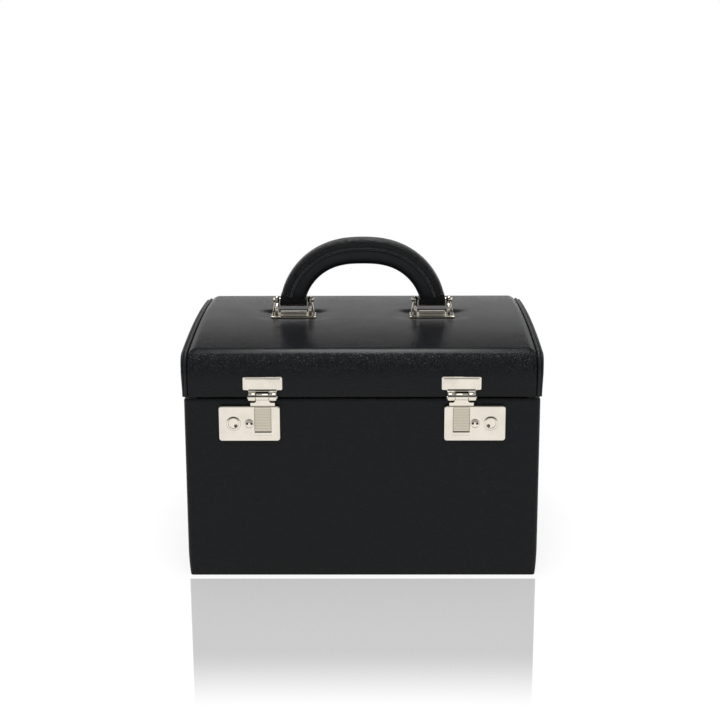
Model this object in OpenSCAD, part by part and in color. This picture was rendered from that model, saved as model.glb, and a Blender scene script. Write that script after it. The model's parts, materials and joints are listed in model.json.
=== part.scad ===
// Leather jewellery case: a padded black case with a domed lid, a padded carrying
// handle on two brackets, and two nickel hasp locks with thumb slides.
// The frame: origin under the middle of the base, +Z up, the front faces -Y.

/* [Case body] */
// Width of the body over its leather
body_w = 296; // [280:1:320]
// Depth of the body, front to back
body_d = 244; // [225:1:270]
// Height of the body's rim
rim_z = 156; // [150:1:180]
// Radius of the body's upright corners
corner_r = 4; // [3:0.5:8]
// Thickness of the leather on the body
leather_t = 1.6; // [1.2:0.1:2]
// Thickness of the front, back and side boards
board_t = 8; // [7:0.5:9]
// Thickness of the base board
base_board_t = 7; // [5:0.5:10]
// Thickness of the suede-covered lining panels
liner_t = 3; // [2:0.5:4]
// How far the lining stands above the rim, into the lid
lip_h = 6; // [3:0.5:8]
// Thickness of the padded floor inside the body
floor_pad_t = 2; // [1:0.5:4]

/* [Lid] */
// Gap between the rim and the lid's lower edge
lid_gap = 2; // [1.6:0.1:2.6]
// Height of the lid at its crown
lid_h = 41.4; // [40:0.2:50]
// Radius of the rounded front and rear edges of the lid
roll_r = 17; // [14:0.5:20]
// Radius of the lid's crown, front to back
crown_r = 1200; // [1000:20:2000]
// Thickness of the padded leather cover
cover_t = 2; // [1.4:0.1:2.4]
// Thickness of the moulded lid shell
shell_t = 5; // [4.4:0.1:5.4]
// Thickness of the end boards
end_board_t = 5.2; // [4.4:0.1:5.4]
// Thickness of the lid's suede lining
lining_t = 1; // [0.6:0.1:1.2]
// Radius of the piping round each end of the lid
piping_r = 2.4; // [2:0.1:2.6]
// How far the piping stands past the side of the body
piping_proud = 2.3; // [1.8:0.1:3]
// Thickness of the padded leather on each end of the lid
end_panel_t = 2; // [1.4:0.1:3]

/* [Mirror] */
// Width of the mirror glass
mirror_w = 200; // [160:2:220]
// Depth of the mirror glass
mirror_d = 130; // [110:2:150]
// Thickness of the glass
mirror_t = 3; // [2:0.5:4]
// Width of the frame round the glass
mirror_frame_w = 12; // [8:1:16]
// Width of glass that the frame's lip covers
mirror_lip_w = 3; // [2:0.5:5]
// Thickness of the frame's lip under the glass
mirror_lip_t = 1; // [0.8:0.1:2]
// Thickness of the bed behind the glass at its front and rear edges
mirror_bed_t = 1.8; // [1:0.2:3]

/* [Handle] */
// Distance between the middles of the two brackets
handle_span = 124.4; // [112:0.4:140]
// Place of the handle behind the middle of the lid
handle_y = 4; // [-6:1:6]
// Height of the pin's axis above the lid's crown
pin_up = 15.2; // [14.6:0.2:18]
// Rise of the handle's centre line above the pins
handle_rise = 44.7; // [40:0.1:52]
// Bend radius of the centre line beside the legs
leg_bend_r = 34; // [30:1:38]
// Thickness of the handle, from finger side to outside
handle_t = 22.4; // [18:0.2:23]
// Thickness of the outer strap
strap_t = 9.2; // [6:0.2:12]
// Width of the outer strap, front to back
strap_w = 20; // [16:0.5:22]
// Width of the padded core, front to back
core_w = 19.2; // [15:0.2:21]
// Width of the leather loop round each pin
loop_w = 24; // [23.6:0.2:25]
// Outer radius of the leather loop
loop_r = 6.4; // [5:0.1:6.6]
// Height from the pin's axis to the foot of the padded part
foot_up = 3.6; // [3:0.1:6]

/* [Handle brackets] */
// Length of the bracket's base plate
bracket_w = 40; // [38:0.5:46]
// Depth of the base plate
bracket_d = 19; // [16:0.5:24]
// Thickness of the base plate
bracket_t = 1.8; // [1.4:0.1:2.6]
// Distance between the middles of the two ears
ear_span = 30.8; // [30.4:0.2:33]
// Thickness of an ear
ear_t = 4.4; // [3.8:0.1:5]
// Width of an ear at its root
ear_root_w = 15; // [11:0.5:16]
// Radius of the ball at the top of an ear
ball_r = 3.4; // [3:0.1:4]
// Radius of the handle pins
handle_pin_r = 1.5; // [1.2:0.1:1.8]
// Radius of the roll that joins the ears
roll_bar_r = 1.6; // [1:0.1:1.8]
// Place of that roll behind the pin
roll_bar_y = 4.5; // [4:0.5:6]
// Thickness of the backing plate inside the lid
backing_t = 2; // [1.4:0.1:3]
// Radius of the bracket screws
screw_r = 1.5; // [1.2:0.1:1.6]

/* [Locks] */
// Distance of each hasp and thumb slide from the side of the body
lock_margin = 65.5; // [58:0.25:70]
// Width of the lock case
lock_w = 51; // [46:0.5:54]
// Height of the lock case
lock_h = 30; // [28:0.5:36]
// Thickness of the lock case
lock_t = 4; // [3.6:0.1:6]
// Corner radius of the lock case
lock_r = 2.5; // [1:0.5:4]
// Wall of the lock case
lock_wall = 0.8; // [0.6:0.1:1]
// Distance from the slide's axis to the inner edge of the lock case
lock_inner = 14.25; // [12:0.25:16]
// Drop of the lock case below the rim
lock_drop = 4.6; // [4.5:0.1:8]
// Thickness of the back plate
lock_back_t = 0.8; // [0.6:0.1:1]
// Distance of the key plug from the slide's axis
key_x = 24.5; // [23:0.5:27]
// Distance of the spanner screw from the slide's axis
spanner_x = 11.35; // [11:0.05:13]
// Height of both above the bottom of the lock case
key_up = 15.1; // [11:0.1:20]
// Radius of the dished collar round the key plug
collar_r = 5.7; // [5:0.1:6]
// Radius of the key plug
plug_r = 4.2; // [3.4:0.1:4.6]
// Radius of the spanner screw's head
spanner_r = 3.7; // [3:0.1:3.8]

/* [Thumb slides] */
// Width of the ribbed face
slide_w = 13.6; // [11:0.2:14.4]
// Height of the ribbed face
slide_h = 20.9; // [17:0.1:22]
// How far the slide travels down
slide_travel = 3; // [2:0.1:3.6]
// Distance from the top of the case to the top of the slide
slide_drop = 0.8; // [0.6:0.1:2]
// How far the ribbed face stands out of the case
slide_proud = 0.3; // [0:0.1:0.8]
// Pitch of the ribs
rib_pitch = 1.35; // [1:0.05:2]
// Depth of the ribs
rib_depth = 0.35; // [0.2:0.05:0.5]

/* [Hasps] */
// Width of the top plate on the lid
catch_w = 33.5; // [30:0.5:38]
// Height of the top plate
catch_h = 11.3; // [8:0.1:13]
// Width of the plate's lower part, over the knuckles
knuckles_w = 24.2; // [22:0.2:26]
// Thickness of the plate
catch_t = 1.4; // [1:0.1:1.8]
// Height of the hasp's axis above the lid's lower edge
hasp_up = 1; // [0.6:0.1:2]
// Distance of the hasp's axis from the lid's front
hasp_out = 4.2; // [4.1:0.1:5]
// Radius of the outer knuckles
knuckle_r = 3.9; // [3.4:0.1:4]
// Radius of the hasp's own knuckle
hasp_knuckle_r = 3.2; // [2.8:0.1:3.4]
// Radius of the hasp's pin
hasp_pin_r = 1.1; // [0.8:0.1:1.4]
// Width of the hasp's neck
neck_w = 10.8; // [8:0.2:12]
// Width of the hasp's shoulders
shoulder_w = 21.3; // [18:0.1:22]
// Thickness of the hasp
hasp_t = 1; // [0.8:0.1:1.1]

/* [Lid hinges] */
// Distance of each lid hinge from the side of the body
hinge_margin = 66; // [50:1:80]
// Width of a hinge leaf
leaf_w = 36; // [30:0.5:44]
// Height of a hinge leaf
leaf_h = 14; // [11:0.5:15]
// Thickness of a leaf
leaf_t = 1.4; // [1:0.1:1.8]
// Radius of the hinge knuckles
hinge_r = 3.2; // [2.8:0.1:3.3]
// Distance of the hinge axis from the back of the case
hinge_out = 3.4; // [3.4:0.1:4]
// Radius of the hinge pin
hinge_pin_r = 1.2; // [1:0.1:1.5]
// Radius of a rivet's shank
rivet_r = 1.2; // [1:0.1:1.4]
// Radius of a rivet's head
rivet_head_r = 2.2; // [1.8:0.1:2.4]
// Length of a rivet, post or pin in the wood
post_l = 5; // [3:0.5:6]

/* [Tray and compartments] */
// Height of the lift-out tray
tray_h = 41; // [30:1:44]
// Height of the tray's rim below the case's rim
tray_drop = 3; // [1:0.5:10]
// Thickness of the tray's walls
tray_wall = 4; // [3:0.5:6]
// Thickness of the tray's floor
tray_floor_t = 3; // [2:0.5:5]
// Gap round the tray
tray_play = 0.8; // [0.5:0.1:1]
// Height of the ledges that carry the tray
ledge_h = 6; // [4:0.5:10]
// Width of the ledges
ledge_w = 4; // [3:0.5:6]
// Thickness of the dividers
divider_t = 3; // [2:0.5:4]
// Height of the dividers in the base
base_divider_h = 70; // [40:1:85]
// Number of ring rolls
roll_count = 15; // [8:1:15]
// Radius of a ring roll
ring_roll_r = 6.6; // [5:0.1:6.7]
// Width of the tray's pull tabs
tab_w = 18; // [12:1:26]
// How far a pull tab stands above the tray's rim
tab_up = 3; // [1:0.5:3]

/* [Hidden] */

// Running clearance of a pin in its bore, and the gap between two pieces that only meet
pin_play = 0.05;
touch = 0.1;
over = 1;
smooth = 64;

// Case body
front_y = -body_d / 2;
back_y = body_d / 2;
wood_x = body_w / 2 - leather_t;
wood_y = body_d / 2 - leather_t;
liner_x = wood_x - board_t;
liner_y = wood_y - board_t;
room_x = liner_x - liner_t;
room_y = liner_y - liner_t;
board_z = leather_t + base_board_t;
room_z = board_z + floor_pad_t;
lip_z = rim_z + lip_h;

// Lid: a roll at the front and the back, tangent to the crown
lid_z = rim_z + lid_gap;
top_z = lid_z + lid_h;
roll_y = body_d / 2 - roll_r;
crown_zc = top_z - crown_r;
roll_zc = crown_zc + sqrt(pow(crown_r - roll_r, 2) - pow(roll_y, 2));
crown_a = asin(roll_y / (crown_r - roll_r));
roll_steps = 14;
crown_steps = 24;
piping_x = body_w / 2 + piping_proud - piping_r;
cover_x = piping_x - piping_r - touch;
lid_room_x = cover_x - end_board_t;
piping_in = piping_r + touch;
panel_in = 2 * piping_r + 4 * touch;
shell_in = cover_t + shell_t;
lining_in = shell_in + lining_t;

// Mirror, hung under the crown
mirror_half_d = mirror_d / 2 + mirror_frame_w;
mirror_half_w = mirror_w / 2 + mirror_frame_w;
bed_edge_z = crown_zc + sqrt(pow(crown_r - lining_in - touch, 2) - pow(mirror_half_d, 2));
glass_top_z = bed_edge_z - mirror_bed_t;
glass_z = glass_top_z - mirror_t;
frame_z = glass_z - mirror_lip_t;

// Handle: a three-centred arch in the XZ plane
pin_x = handle_span / 2;
pin_z = top_z + pin_up;
leg_side = pin_x - leg_bend_r;
arch_r = (pow(leg_side, 2) + pow(handle_rise, 2) - pow(leg_bend_r, 2)) / (2 * (handle_rise - leg_bend_r));
arch_a = atan2(leg_side, arch_r - handle_rise);
foot_a = asin(foot_up / leg_bend_r);

// Handle brackets
bracket_z = top_z + touch;
plate_top = bracket_z + bracket_t;
screw_in_ear = 3;
pin_end = ear_span / 2 + ball_r - 0.6;

// Locks
lock_x = body_w / 2 - lock_margin;
lock_top = rim_z - lock_drop;
lock_bottom = lock_top - lock_h;
lock_face = front_y - lock_t;
lock_inside = lock_face + lock_wall;
lock_outer = lock_w - lock_inner;
back_face = front_y - lock_back_t;
key_z = lock_bottom + key_up;
slide_top = lock_top - slide_drop;
slide_bottom = slide_top - slide_h;
slide_face = lock_face - slide_proud;
slide_gap = 0.25;
flange_w = 2.4;
flange_t = 1;
flange_out = lock_inside + 0.2;
flange_bottom = slide_bottom - 1;
flange_top = slide_top - 1;
tail_t = 0.3;
tail_bottom = slide_bottom - slide_travel - slide_gap - 0.6;
spring_r = 0.65;
spring_wire_r = 0.2;
spring_turns = 6;
spring_bottom = lock_bottom + lock_wall + touch;
spring_h = flange_bottom - spring_bottom - 2 * touch;
spring_y = flange_out + tail_t + touch + spring_r + spring_wire_r;

// Hasps
hasp_z = lid_z + hasp_up;
hasp_y = front_y - hasp_out;
catch_face = front_y - catch_t;
catch_low_z = lid_z + 0.6;
catch_mid_z = hasp_z + knuckle_r + 1.6;
hasp_back = hasp_y + 2.1;
shoulder_low = lock_top + 0.4;
shoulder_top = hasp_z - knuckle_r - 0.7;
knuckle_gap = 0.3;
window_z = hasp_z + hasp_knuckle_r + 1.2;

// Lid hinges
hinge_x = body_w / 2 - hinge_margin;
hinge_y = back_y + hinge_out;
hinge_z = rim_z + lid_gap / 2;
hinge_gap = 0.3;
leaf_start = hinge_r + 0.4;
knuckle_w = leaf_w / 5;
rivet_head_h = 0.9;

// Tray
tray_x = room_x - tray_play;
tray_y = room_y - tray_play;
tray_top = rim_z - tray_drop;
tray_z = tray_top - tray_h;
tray_in_x = tray_x - tray_wall;
tray_in_y = tray_y - tray_wall;
tray_in_z = tray_z + tray_floor_t;
tray_divider_h = tray_h - tray_floor_t - 4;
ledge_z = tray_z - 0.3;
roll_pitch = 2 * tray_in_y / roll_count;
tab_t = 1.4;
tab_l = 26;

leather_colour = [0.06, 0.06, 0.065];
suede_colour = [0.42, 0.40, 0.38];
wood_colour = [0.72, 0.56, 0.38];
nickel_colour = [0.85, 0.82, 0.76];

// ---- Shared shapes

module rounded_rect(w, d, r) {
    square([w - 2 * r, d], center = true);
    square([w, d - 2 * r], center = true);
    for (sx = [-1, 1], sy = [-1, 1])
        translate([sx * (w / 2 - r), sy * (d / 2 - r)]) circle(r, $fn = smooth);
}

// A box between two corners
module block(low, high) {
    translate(low) cube(high - low);
}

// A round bar along X, Y or Z from a start point
module bar_x(x0, x1, y, z, r) {
    translate([x0, y, z]) rotate([0, 90, 0]) cylinder(h = x1 - x0, r = r, $fn = smooth);
}

module bar_y(y0, y1, x, z, r) {
    translate([x, y1, z]) rotate([90, 0, 0]) cylinder(h = y1 - y0, r = r, $fn = smooth);
}

module both_sides() {
    children();
    mirror([1, 0, 0]) children();
}

module left_side() {
    mirror([1, 0, 0]) children();
}

// Turns an outline in (Y, Z) into a solid along X
module along_x(x0, x1) {
    translate([x0, 0, 0]) rotate([90, 0, 90]) linear_extrude(height = x1 - x0) children();
}

// Points of an arc about a centre, from one angle to another
function arc(cx, cy, r, a0, a1, steps) =
    [for (i = [0:steps]) let (a = a0 + (a1 - a0) * i / steps) [cx + r * cos(a), cy + r * sin(a)]];

// The lid's outline, inset from the cover's outer face; a drop lowers its open edge
function lid_outline(inset, drop) = concat(
    [[front_y + inset, lid_z - drop]],
    arc(-roll_y, roll_zc, roll_r - inset, 180, 90 + crown_a, roll_steps),
    arc(0, crown_zc, crown_r - inset, 90 + crown_a, 90 - crown_a, crown_steps),
    arc(roll_y, roll_zc, roll_r - inset, 90 - crown_a, 0, roll_steps),
    [[back_y - inset, lid_z - drop]]);

module lid_profile(inset, drop = 0) {
    polygon(lid_outline(inset, drop));
}

// Points of an arc in a plane, each with the direction that faces away from the centre
function arc_path(cx, cy, r, a0, a1, steps) =
    [for (i = [0:steps]) let (a = a0 + (a1 - a0) * i / steps) [cx + r * cos(a), cy + r * sin(a), a]];

// Sweeps a section, given as [outwards, sideways] points, along a path in the XY plane
module swept(path, section) {
    n = len(section);
    rings = len(path);
    points = [for (p = path, q = section) [p[0] + q[0] * cos(p[2]), p[1] + q[0] * sin(p[2]), q[1]]];
    walls = [for (i = [0:rings - 2], k = [0:n - 1]) let (m = (k + 1) % n)
        [i * n + k, i * n + m, (i + 1) * n + m, (i + 1) * n + k]];
    first = [for (k = [0:n - 1]) n - 1 - k];
    last = [for (k = [0:n - 1]) (rings - 1) * n + k];
    polyhedron(points, concat(walls, [first, last]));
}

// ---- Case body

module base_leather() color(leather_colour)
    linear_extrude(height = leather_t)
        rounded_rect(2 * wood_x - 2 * touch, 2 * wood_y - 2 * touch, corner_r - leather_t);

module body_leather() color(leather_colour)
    difference() {
        translate([0, 0, 0.4]) linear_extrude(height = rim_z - 0.4)
            difference() {
                rounded_rect(body_w, body_d, corner_r);
                rounded_rect(2 * wood_x, 2 * wood_y, corner_r - leather_t);
            }
        both_sides() lock_posts(touch);
        both_sides() body_rivet_shanks(touch);
    }

module front_board() color(wood_colour)
    difference() {
        block([-wood_x + 2.4, -wood_y, board_z], [wood_x - 2.4, -liner_y, rim_z]);
        both_sides() lock_posts(touch);
    }

module back_board() color(wood_colour)
    difference() {
        block([-wood_x + 2.4, liner_y, board_z], [wood_x - 2.4, wood_y, rim_z]);
        both_sides() body_rivet_shanks(touch);
    }

module side_boards() color(wood_colour)
    both_sides() block([liner_x, -liner_y, board_z], [wood_x, liner_y, rim_z]);

module base_board() color(wood_colour)
    translate([0, 0, leather_t]) linear_extrude(height = base_board_t)
        rounded_rect(2 * wood_x, 2 * wood_y, corner_r - leather_t);

module liner_panels() color(suede_colour) {
    block([-liner_x, -liner_y, board_z], [liner_x, -room_y, lip_z]);
    block([-liner_x, room_y, board_z], [liner_x, liner_y, lip_z]);
    both_sides() block([room_x, -room_y + touch, board_z], [liner_x, room_y - touch, lip_z]);
}

module floor_pad() color(suede_colour)
    block([-room_x, -room_y, board_z], [room_x, room_y, room_z]);

module tray_ledges() color(suede_colour)
    both_sides() block([room_x - ledge_w, -room_y + 10, ledge_z - ledge_h], [room_x, room_y - 10, ledge_z]);

module base_dividers() color(suede_colour) {
    top = room_z + base_divider_h;
    half = divider_t / 2;
    block([-room_x + touch, -half, room_z], [room_x - touch, half, top]);
    for (x = [-room_x / 3, room_x / 3], s = [0, 1]) mirror([0, s, 0])
        block([x - half, half + touch, room_z], [x + half, room_y - touch, top]);
}

// ---- Lid

module lid_shell() color(wood_colour)
    difference() {
        along_x(-cover_x, cover_x) lid_profile(cover_t);
        along_x(-cover_x - over, cover_x + over) lid_profile(shell_in, over);
        both_sides() catch_posts(touch);
        both_sides() lid_rivet_shanks(touch);
        both_sides() bracket_place() bracket_screw_shanks(touch);
        both_sides() bracket_place() backing_plate_shape(touch);
    }

module lid_end_boards() color(wood_colour)
    both_sides() along_x(lid_room_x, cover_x) lid_profile(shell_in);

module lid_cover() color(leather_colour)
    difference() {
        along_x(-cover_x, cover_x) lid_profile(0);
        along_x(-cover_x - over, cover_x + over) lid_profile(cover_t, over);
        both_sides() catch_posts(touch);
        both_sides() lid_rivet_shanks(touch);
        both_sides() bracket_place() bracket_screw_shanks(touch);
    }

module lid_end_panels() color(leather_colour)
    both_sides() along_x(cover_x, cover_x + end_panel_t) lid_profile(panel_in);

// The piping follows the lid's outline: up the front, over the crown, down the back
piping_path = concat(
    [[-(body_d / 2 - piping_in), lid_z, 180]],
    arc_path(-roll_y, roll_zc, roll_r - piping_in, 180, 90 + crown_a, 10),
    arc_path(0, crown_zc, crown_r - piping_in, 90 + crown_a, 90 - crown_a, 12),
    arc_path(roll_y, roll_zc, roll_r - piping_in, 90 - crown_a, 0, 10),
    [[body_d / 2 - piping_in, lid_z, 0]]);

module lid_piping() color(leather_colour)
    both_sides() translate([piping_x, 0, 0]) rotate([90, 0, 90])
        swept(piping_path, [for (k = [0:9]) [piping_r * cos(36 * k), piping_r * sin(36 * k)]]);

module lid_lining() color(suede_colour)
    difference() {
        along_x(-lid_room_x, lid_room_x) lid_profile(shell_in);
        along_x(-lid_room_x + lining_t, lid_room_x - lining_t) lid_profile(lining_in, over);
    }

module mirror_bed() color(suede_colour)
    intersection() {
        along_x(-mirror_half_w, mirror_half_w) lid_profile(lining_in + touch);
        block([-mirror_half_w, -mirror_half_d, glass_top_z], [mirror_half_w, mirror_half_d, top_z]);
    }

module mirror_glass() color([0.8, 0.83, 0.85])
    block([-mirror_w / 2, -mirror_d / 2, glass_z], [mirror_w / 2, mirror_d / 2, glass_top_z]);

module mirror_frame() color(suede_colour)
    difference() {
        block([-mirror_half_w, -mirror_half_d, frame_z], [mirror_half_w, mirror_half_d, glass_top_z]);
        block([-mirror_w / 2 - touch, -mirror_d / 2 - touch, glass_z],
              [mirror_w / 2 + touch, mirror_d / 2 + touch, glass_top_z + over]);
        block([-mirror_w / 2 + mirror_lip_w, -mirror_d / 2 + mirror_lip_w, frame_z - over],
              [mirror_w / 2 - mirror_lip_w, mirror_d / 2 - mirror_lip_w, glass_z + over]);
    }

// ---- Handle brackets

module bracket_place() {
    translate([pin_x, handle_y, 0]) children();
}

module handle_brackets() color(nickel_colour)
    both_sides() bracket_place()
        difference() {
            union() {
                translate([0, 0, bracket_z]) linear_extrude(height = bracket_t)
                    rounded_rect(bracket_w, bracket_d, 1);
                for (s = [-1, 1]) translate([s * ear_span / 2, 0, 0]) ear();
                bar_x(-ear_span / 2, ear_span / 2, roll_bar_y, plate_top + 0.6 * roll_bar_r, roll_bar_r);
            }
            bar_x(-bracket_w, bracket_w, 0, pin_z, handle_pin_r + pin_play);
            bracket_screw_shanks(pin_play);
        }

module ear() {
    along_x(-ear_t / 2, ear_t / 2)
        polygon([[-ear_root_w / 2, bracket_z + bracket_t / 2], [ear_root_w / 2, bracket_z + bracket_t / 2],
                 [ball_r - 0.6, pin_z], [-ball_r + 0.6, pin_z]]);
    translate([0, 0, pin_z]) sphere(ball_r, $fn = smooth);
}

module handle_pins() color(nickel_colour)
    both_sides() bracket_place() bar_x(-pin_end, pin_end, 0, pin_z, handle_pin_r);

module bracket_screw_shanks(play)
    for (s = [-1, 1]) translate([s * ear_span / 2, 0, top_z - shell_in - over])
        cylinder(h = shell_in + over + touch + bracket_t + screw_in_ear + play, r = screw_r + play,
                 $fn = smooth);

module backing_plate_shape(play)
    translate([0, 0, top_z - shell_in - over])
        linear_extrude(height = backing_t + over + play + touch)
            rounded_rect(bracket_w + 2 * play, bracket_d + 2 * play, 1);

module bracket_backing_plates() color([0.6, 0.6, 0.58])
    both_sides() bracket_place()
        difference() {
            translate([0, 0, top_z - shell_in + touch]) linear_extrude(height = backing_t)
                rounded_rect(bracket_w, bracket_d, 1);
            for (s = [-1, 1]) translate([s * ear_span / 2, 0, top_z - shell_in]) screw_head(touch);
            bracket_screw_shanks(touch);
        }

// Countersunk head, wide side down
module screw_head(play)
    translate([0, 0, touch]) cylinder(h = 1.4, r1 = 2 * screw_r + play, r2 = screw_r + play, $fn = smooth);

module bracket_screws() color([0.6, 0.6, 0.58])
    both_sides() bracket_place()
        for (s = [-1, 1]) translate([s * ear_span / 2, 0, top_z - shell_in]) {
            screw_head(0);
            translate([0, 0, touch])
                cylinder(h = shell_in + bracket_t + screw_in_ear, r = screw_r, $fn = smooth);
        }

// ---- Handle

// The centre line in the XZ plane, from the left foot over the crown to the right foot
handle_path = concat(
    arc_path(-leg_side, 0, leg_bend_r, 180 - foot_a, 90 + arch_a, 12),
    arc_path(0, handle_rise - arch_r, arch_r, 90 + arch_a, 90 - arch_a, 20),
    arc_path(leg_side, 0, leg_bend_r, 90 - arch_a, foot_a, 12));

// Half-open section: flat towards the other half, with two round corners on its far side
function padded_section(inner, outer, w, r) = concat(
    [[inner, w / 2], [inner, -w / 2]],
    [for (a = [-90:22.5:0]) [outer - r + r * cos(a), -w / 2 + r + r * sin(a)]],
    [for (a = [0:22.5:90]) [outer - r + r * cos(a), w / 2 - r + r * sin(a)]]);

module along_handle(section)
    translate([0, handle_y, pin_z]) rotate([90, 0, 0]) swept(handle_path, section);

// The core's section is the strap's turned over: flat outwards, round on the finger side
core_half = padded_section(strap_t + touch - handle_t / 2, handle_t / 2, core_w, 8);
core_section = [for (i = [len(core_half) - 1:-1:0]) [-core_half[i][0], core_half[i][1]]];

module handle_core() color(leather_colour)
    along_handle(core_section);

module handle_strap() color(leather_colour)
    along_handle(padded_section(handle_t / 2 - strap_t, handle_t / 2, strap_w, 3.5));

// Height of the foot's sloping end over the pin, at a place across the loop
function foot_line(x) = (x + leg_bend_r) * tan(foot_a) - touch;

module handle_loops() color(leather_colour)
    both_sides() bracket_place()
        difference() {
            union() {
                bar_x(-loop_w / 2, loop_w / 2, 0, pin_z, loop_r);
                block([-loop_w / 2, -loop_r + 1, pin_z], [loop_w / 2, loop_r - 1, pin_z + loop_r]);
            }
            translate([0, 0, pin_z]) along_y(-loop_r - over, loop_r + over)
                polygon([[-loop_w, foot_line(-loop_w)], [loop_w, foot_line(loop_w)],
                         [loop_w, 2 * loop_r], [-loop_w, 2 * loop_r]]);
            bar_x(-loop_w, loop_w, 0, pin_z, handle_pin_r + 0.1);
        }

// ---- Locks: drawn for the right side, the left is its mirror image

module lock_place() {
    translate([lock_x, 0, 0]) children();
}

module lock_outline(r)
    translate([(lock_outer - lock_inner) / 2, (lock_bottom + lock_top) / 2])
        rounded_rect(lock_w - 2 * (lock_r - r), lock_h - 2 * (lock_r - r), r);

// An outline in (X, Z) given a thickness along Y
module along_y(y0, y1) {
    translate([0, y1, 0]) rotate([90, 0, 0]) linear_extrude(height = y1 - y0) children();
}

module lock_cases() color(nickel_colour)
    both_sides() lock_place()
        difference() {
            along_y(lock_face, back_face - touch) lock_outline(lock_r);
            along_y(lock_inside, back_face + over) lock_outline(lock_r - lock_wall);
            block([-slide_w / 2 - slide_gap, lock_face - over, slide_bottom - slide_travel - slide_gap],
                  [slide_w / 2 + slide_gap, lock_inside + over, lock_top + over]);
            bar_y(lock_face - over, lock_inside + over, key_x, key_z, collar_r + touch);
            bar_y(lock_face - over, lock_inside + over, spanner_x, key_z, spanner_r + touch);
        }

module lock_back_plates() color(nickel_colour)
    both_sides() {
        lock_place() along_y(back_face, front_y) lock_outline(lock_r - lock_wall);
        lock_posts(0);
    }

module lock_posts(play)
    for (x = [-lock_inner + 4, lock_outer - 4], z = [lock_bottom + 4, lock_top - 4])
        bar_y(front_y - touch, front_y + leather_t + post_l + play, lock_x + x, z, rivet_r + play);

module lock_collars() color(nickel_colour)
    both_sides() lock_place()
        difference() {
            bar_y(lock_face + 0.3, back_face - touch, key_x, key_z, collar_r);
            bar_y(lock_face - over, back_face + over, key_x, key_z, plug_r + pin_play);
            translate([key_x, lock_face + 0.2, key_z]) rotate([-90, 0, 0])
                cylinder(h = 0.8, r1 = collar_r - 0.4, r2 = plug_r, $fn = smooth);
        }

module spanner_screws() color(nickel_colour)
    both_sides() lock_place()
        difference() {
            union() {
                bar_y(lock_face - 0.1, lock_inside + 0.3, spanner_x, key_z, spanner_r);
                bar_y(lock_inside, back_face - touch, spanner_x, key_z, 1.2);
            }
            for (s = [-1, 1])
                bar_y(lock_face - over, lock_face + 0.6, spanner_x + s * 0.52 * spanner_r, key_z, 0.75);
        }

module key_plug() color(nickel_colour)
    lock_place()
        difference() {
            bar_y(lock_face + 0.8, back_face - touch, key_x, key_z, plug_r);
            bar_y(lock_face, lock_face + 2, key_x, key_z, 1);
            block([key_x - 0.4, lock_face, key_z - 2.9], [key_x + 0.4, lock_face + 2, key_z]);
        }

module thumb_slide() color([0.75, 0.71, 0.62])
    lock_place()
        difference() {
            union() {
                block([-slide_w / 2, slide_face, slide_bottom], [slide_w / 2, flange_out + touch, slide_top]);
                block([-slide_w / 2 - flange_w, flange_out, flange_bottom],
                      [slide_w / 2, flange_out + flange_t, flange_top]);
                block([-slide_w / 2 - 0.6, flange_out, tail_bottom],
                      [slide_w / 2 + 0.6, flange_out + tail_t, flange_bottom + 1]);
            }
            for (z = [slide_bottom + 1.2 : rib_pitch : slide_top - 1.4])
                block([-slide_w / 2 - over, slide_face - over, z],
                      [slide_w / 2 + over, slide_face + rib_depth, z + rib_pitch * 0.45]);
        }

// Compression spring under the slide: one wire swept along a helix
spring_sides = 6;
spring_steps = 12;
function spring_ring(a, z) = [for (k = [0:spring_sides - 1])
    let (b = 360 * k / spring_sides, r = spring_r + spring_wire_r * cos(b))
        [r * cos(a), r * sin(a), z + spring_wire_r * sin(b)]];

module slide_spring(side) color([0.7, 0.7, 0.72]) {
    count = spring_turns * spring_steps;
    climb = spring_h - 2 * spring_wire_r;
    points = [for (i = [0:count])
        each spring_ring(360 * i / spring_steps, spring_wire_r + climb * i / count)];
    walls = [for (i = [0:count - 1], k = [0:spring_sides - 1]) let (n = (k + 1) % spring_sides)
        [i * spring_sides + k, (i + 1) * spring_sides + k,
         (i + 1) * spring_sides + n, i * spring_sides + n]];
    first = [for (k = [0:spring_sides - 1]) k];
    last = [for (k = [0:spring_sides - 1]) count * spring_sides + spring_sides - 1 - k];
    translate([side * lock_x, spring_y, spring_bottom])
        polyhedron(points, concat(walls, [first, last]));
}

// ---- Hasps

module catch_posts(play)
    for (s = [-1, 1])
        bar_y(front_y - touch, front_y + cover_t + post_l - 1.5 + play, lock_x + s * 0.36 * catch_w,
              catch_mid_z + catch_h / 2, rivet_r + play);

module catch_plates() color(nickel_colour)
    both_sides() {
        lock_place()
            difference() {
                union() {
                    along_y(catch_face, front_y - touch) {
                        translate([0, catch_mid_z + catch_h / 2]) rounded_rect(catch_w, catch_h, 1.2);
                        translate([-knuckles_w / 2, catch_low_z])
                            square([knuckles_w, catch_mid_z - catch_low_z + 2]);
                    }
                    for (s = [-1, 1]) mirror([s > 0 ? 0 : 1, 0, 0])
                        bar_x(neck_w / 2 + knuckle_gap, knuckles_w / 2, hasp_y, hasp_z, knuckle_r);
                }
                block([-neck_w / 2 - knuckle_gap, catch_face - over, catch_low_z - over],
                      [neck_w / 2 + knuckle_gap, front_y + over, window_z]);
                bar_x(-knuckles_w, knuckles_w, hasp_y, hasp_z, hasp_pin_r + pin_play);
            }
        catch_posts(0);
    }

module hasp() color(nickel_colour)
    lock_place()
        difference() {
            union() {
                bar_x(-neck_w / 2, neck_w / 2, hasp_y, hasp_z, hasp_knuckle_r);
                along_y(hasp_back - hasp_t, hasp_back) hasp_outline();
            }
            bar_x(-neck_w, neck_w, hasp_y, hasp_z, hasp_pin_r + pin_play);
        }

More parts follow.
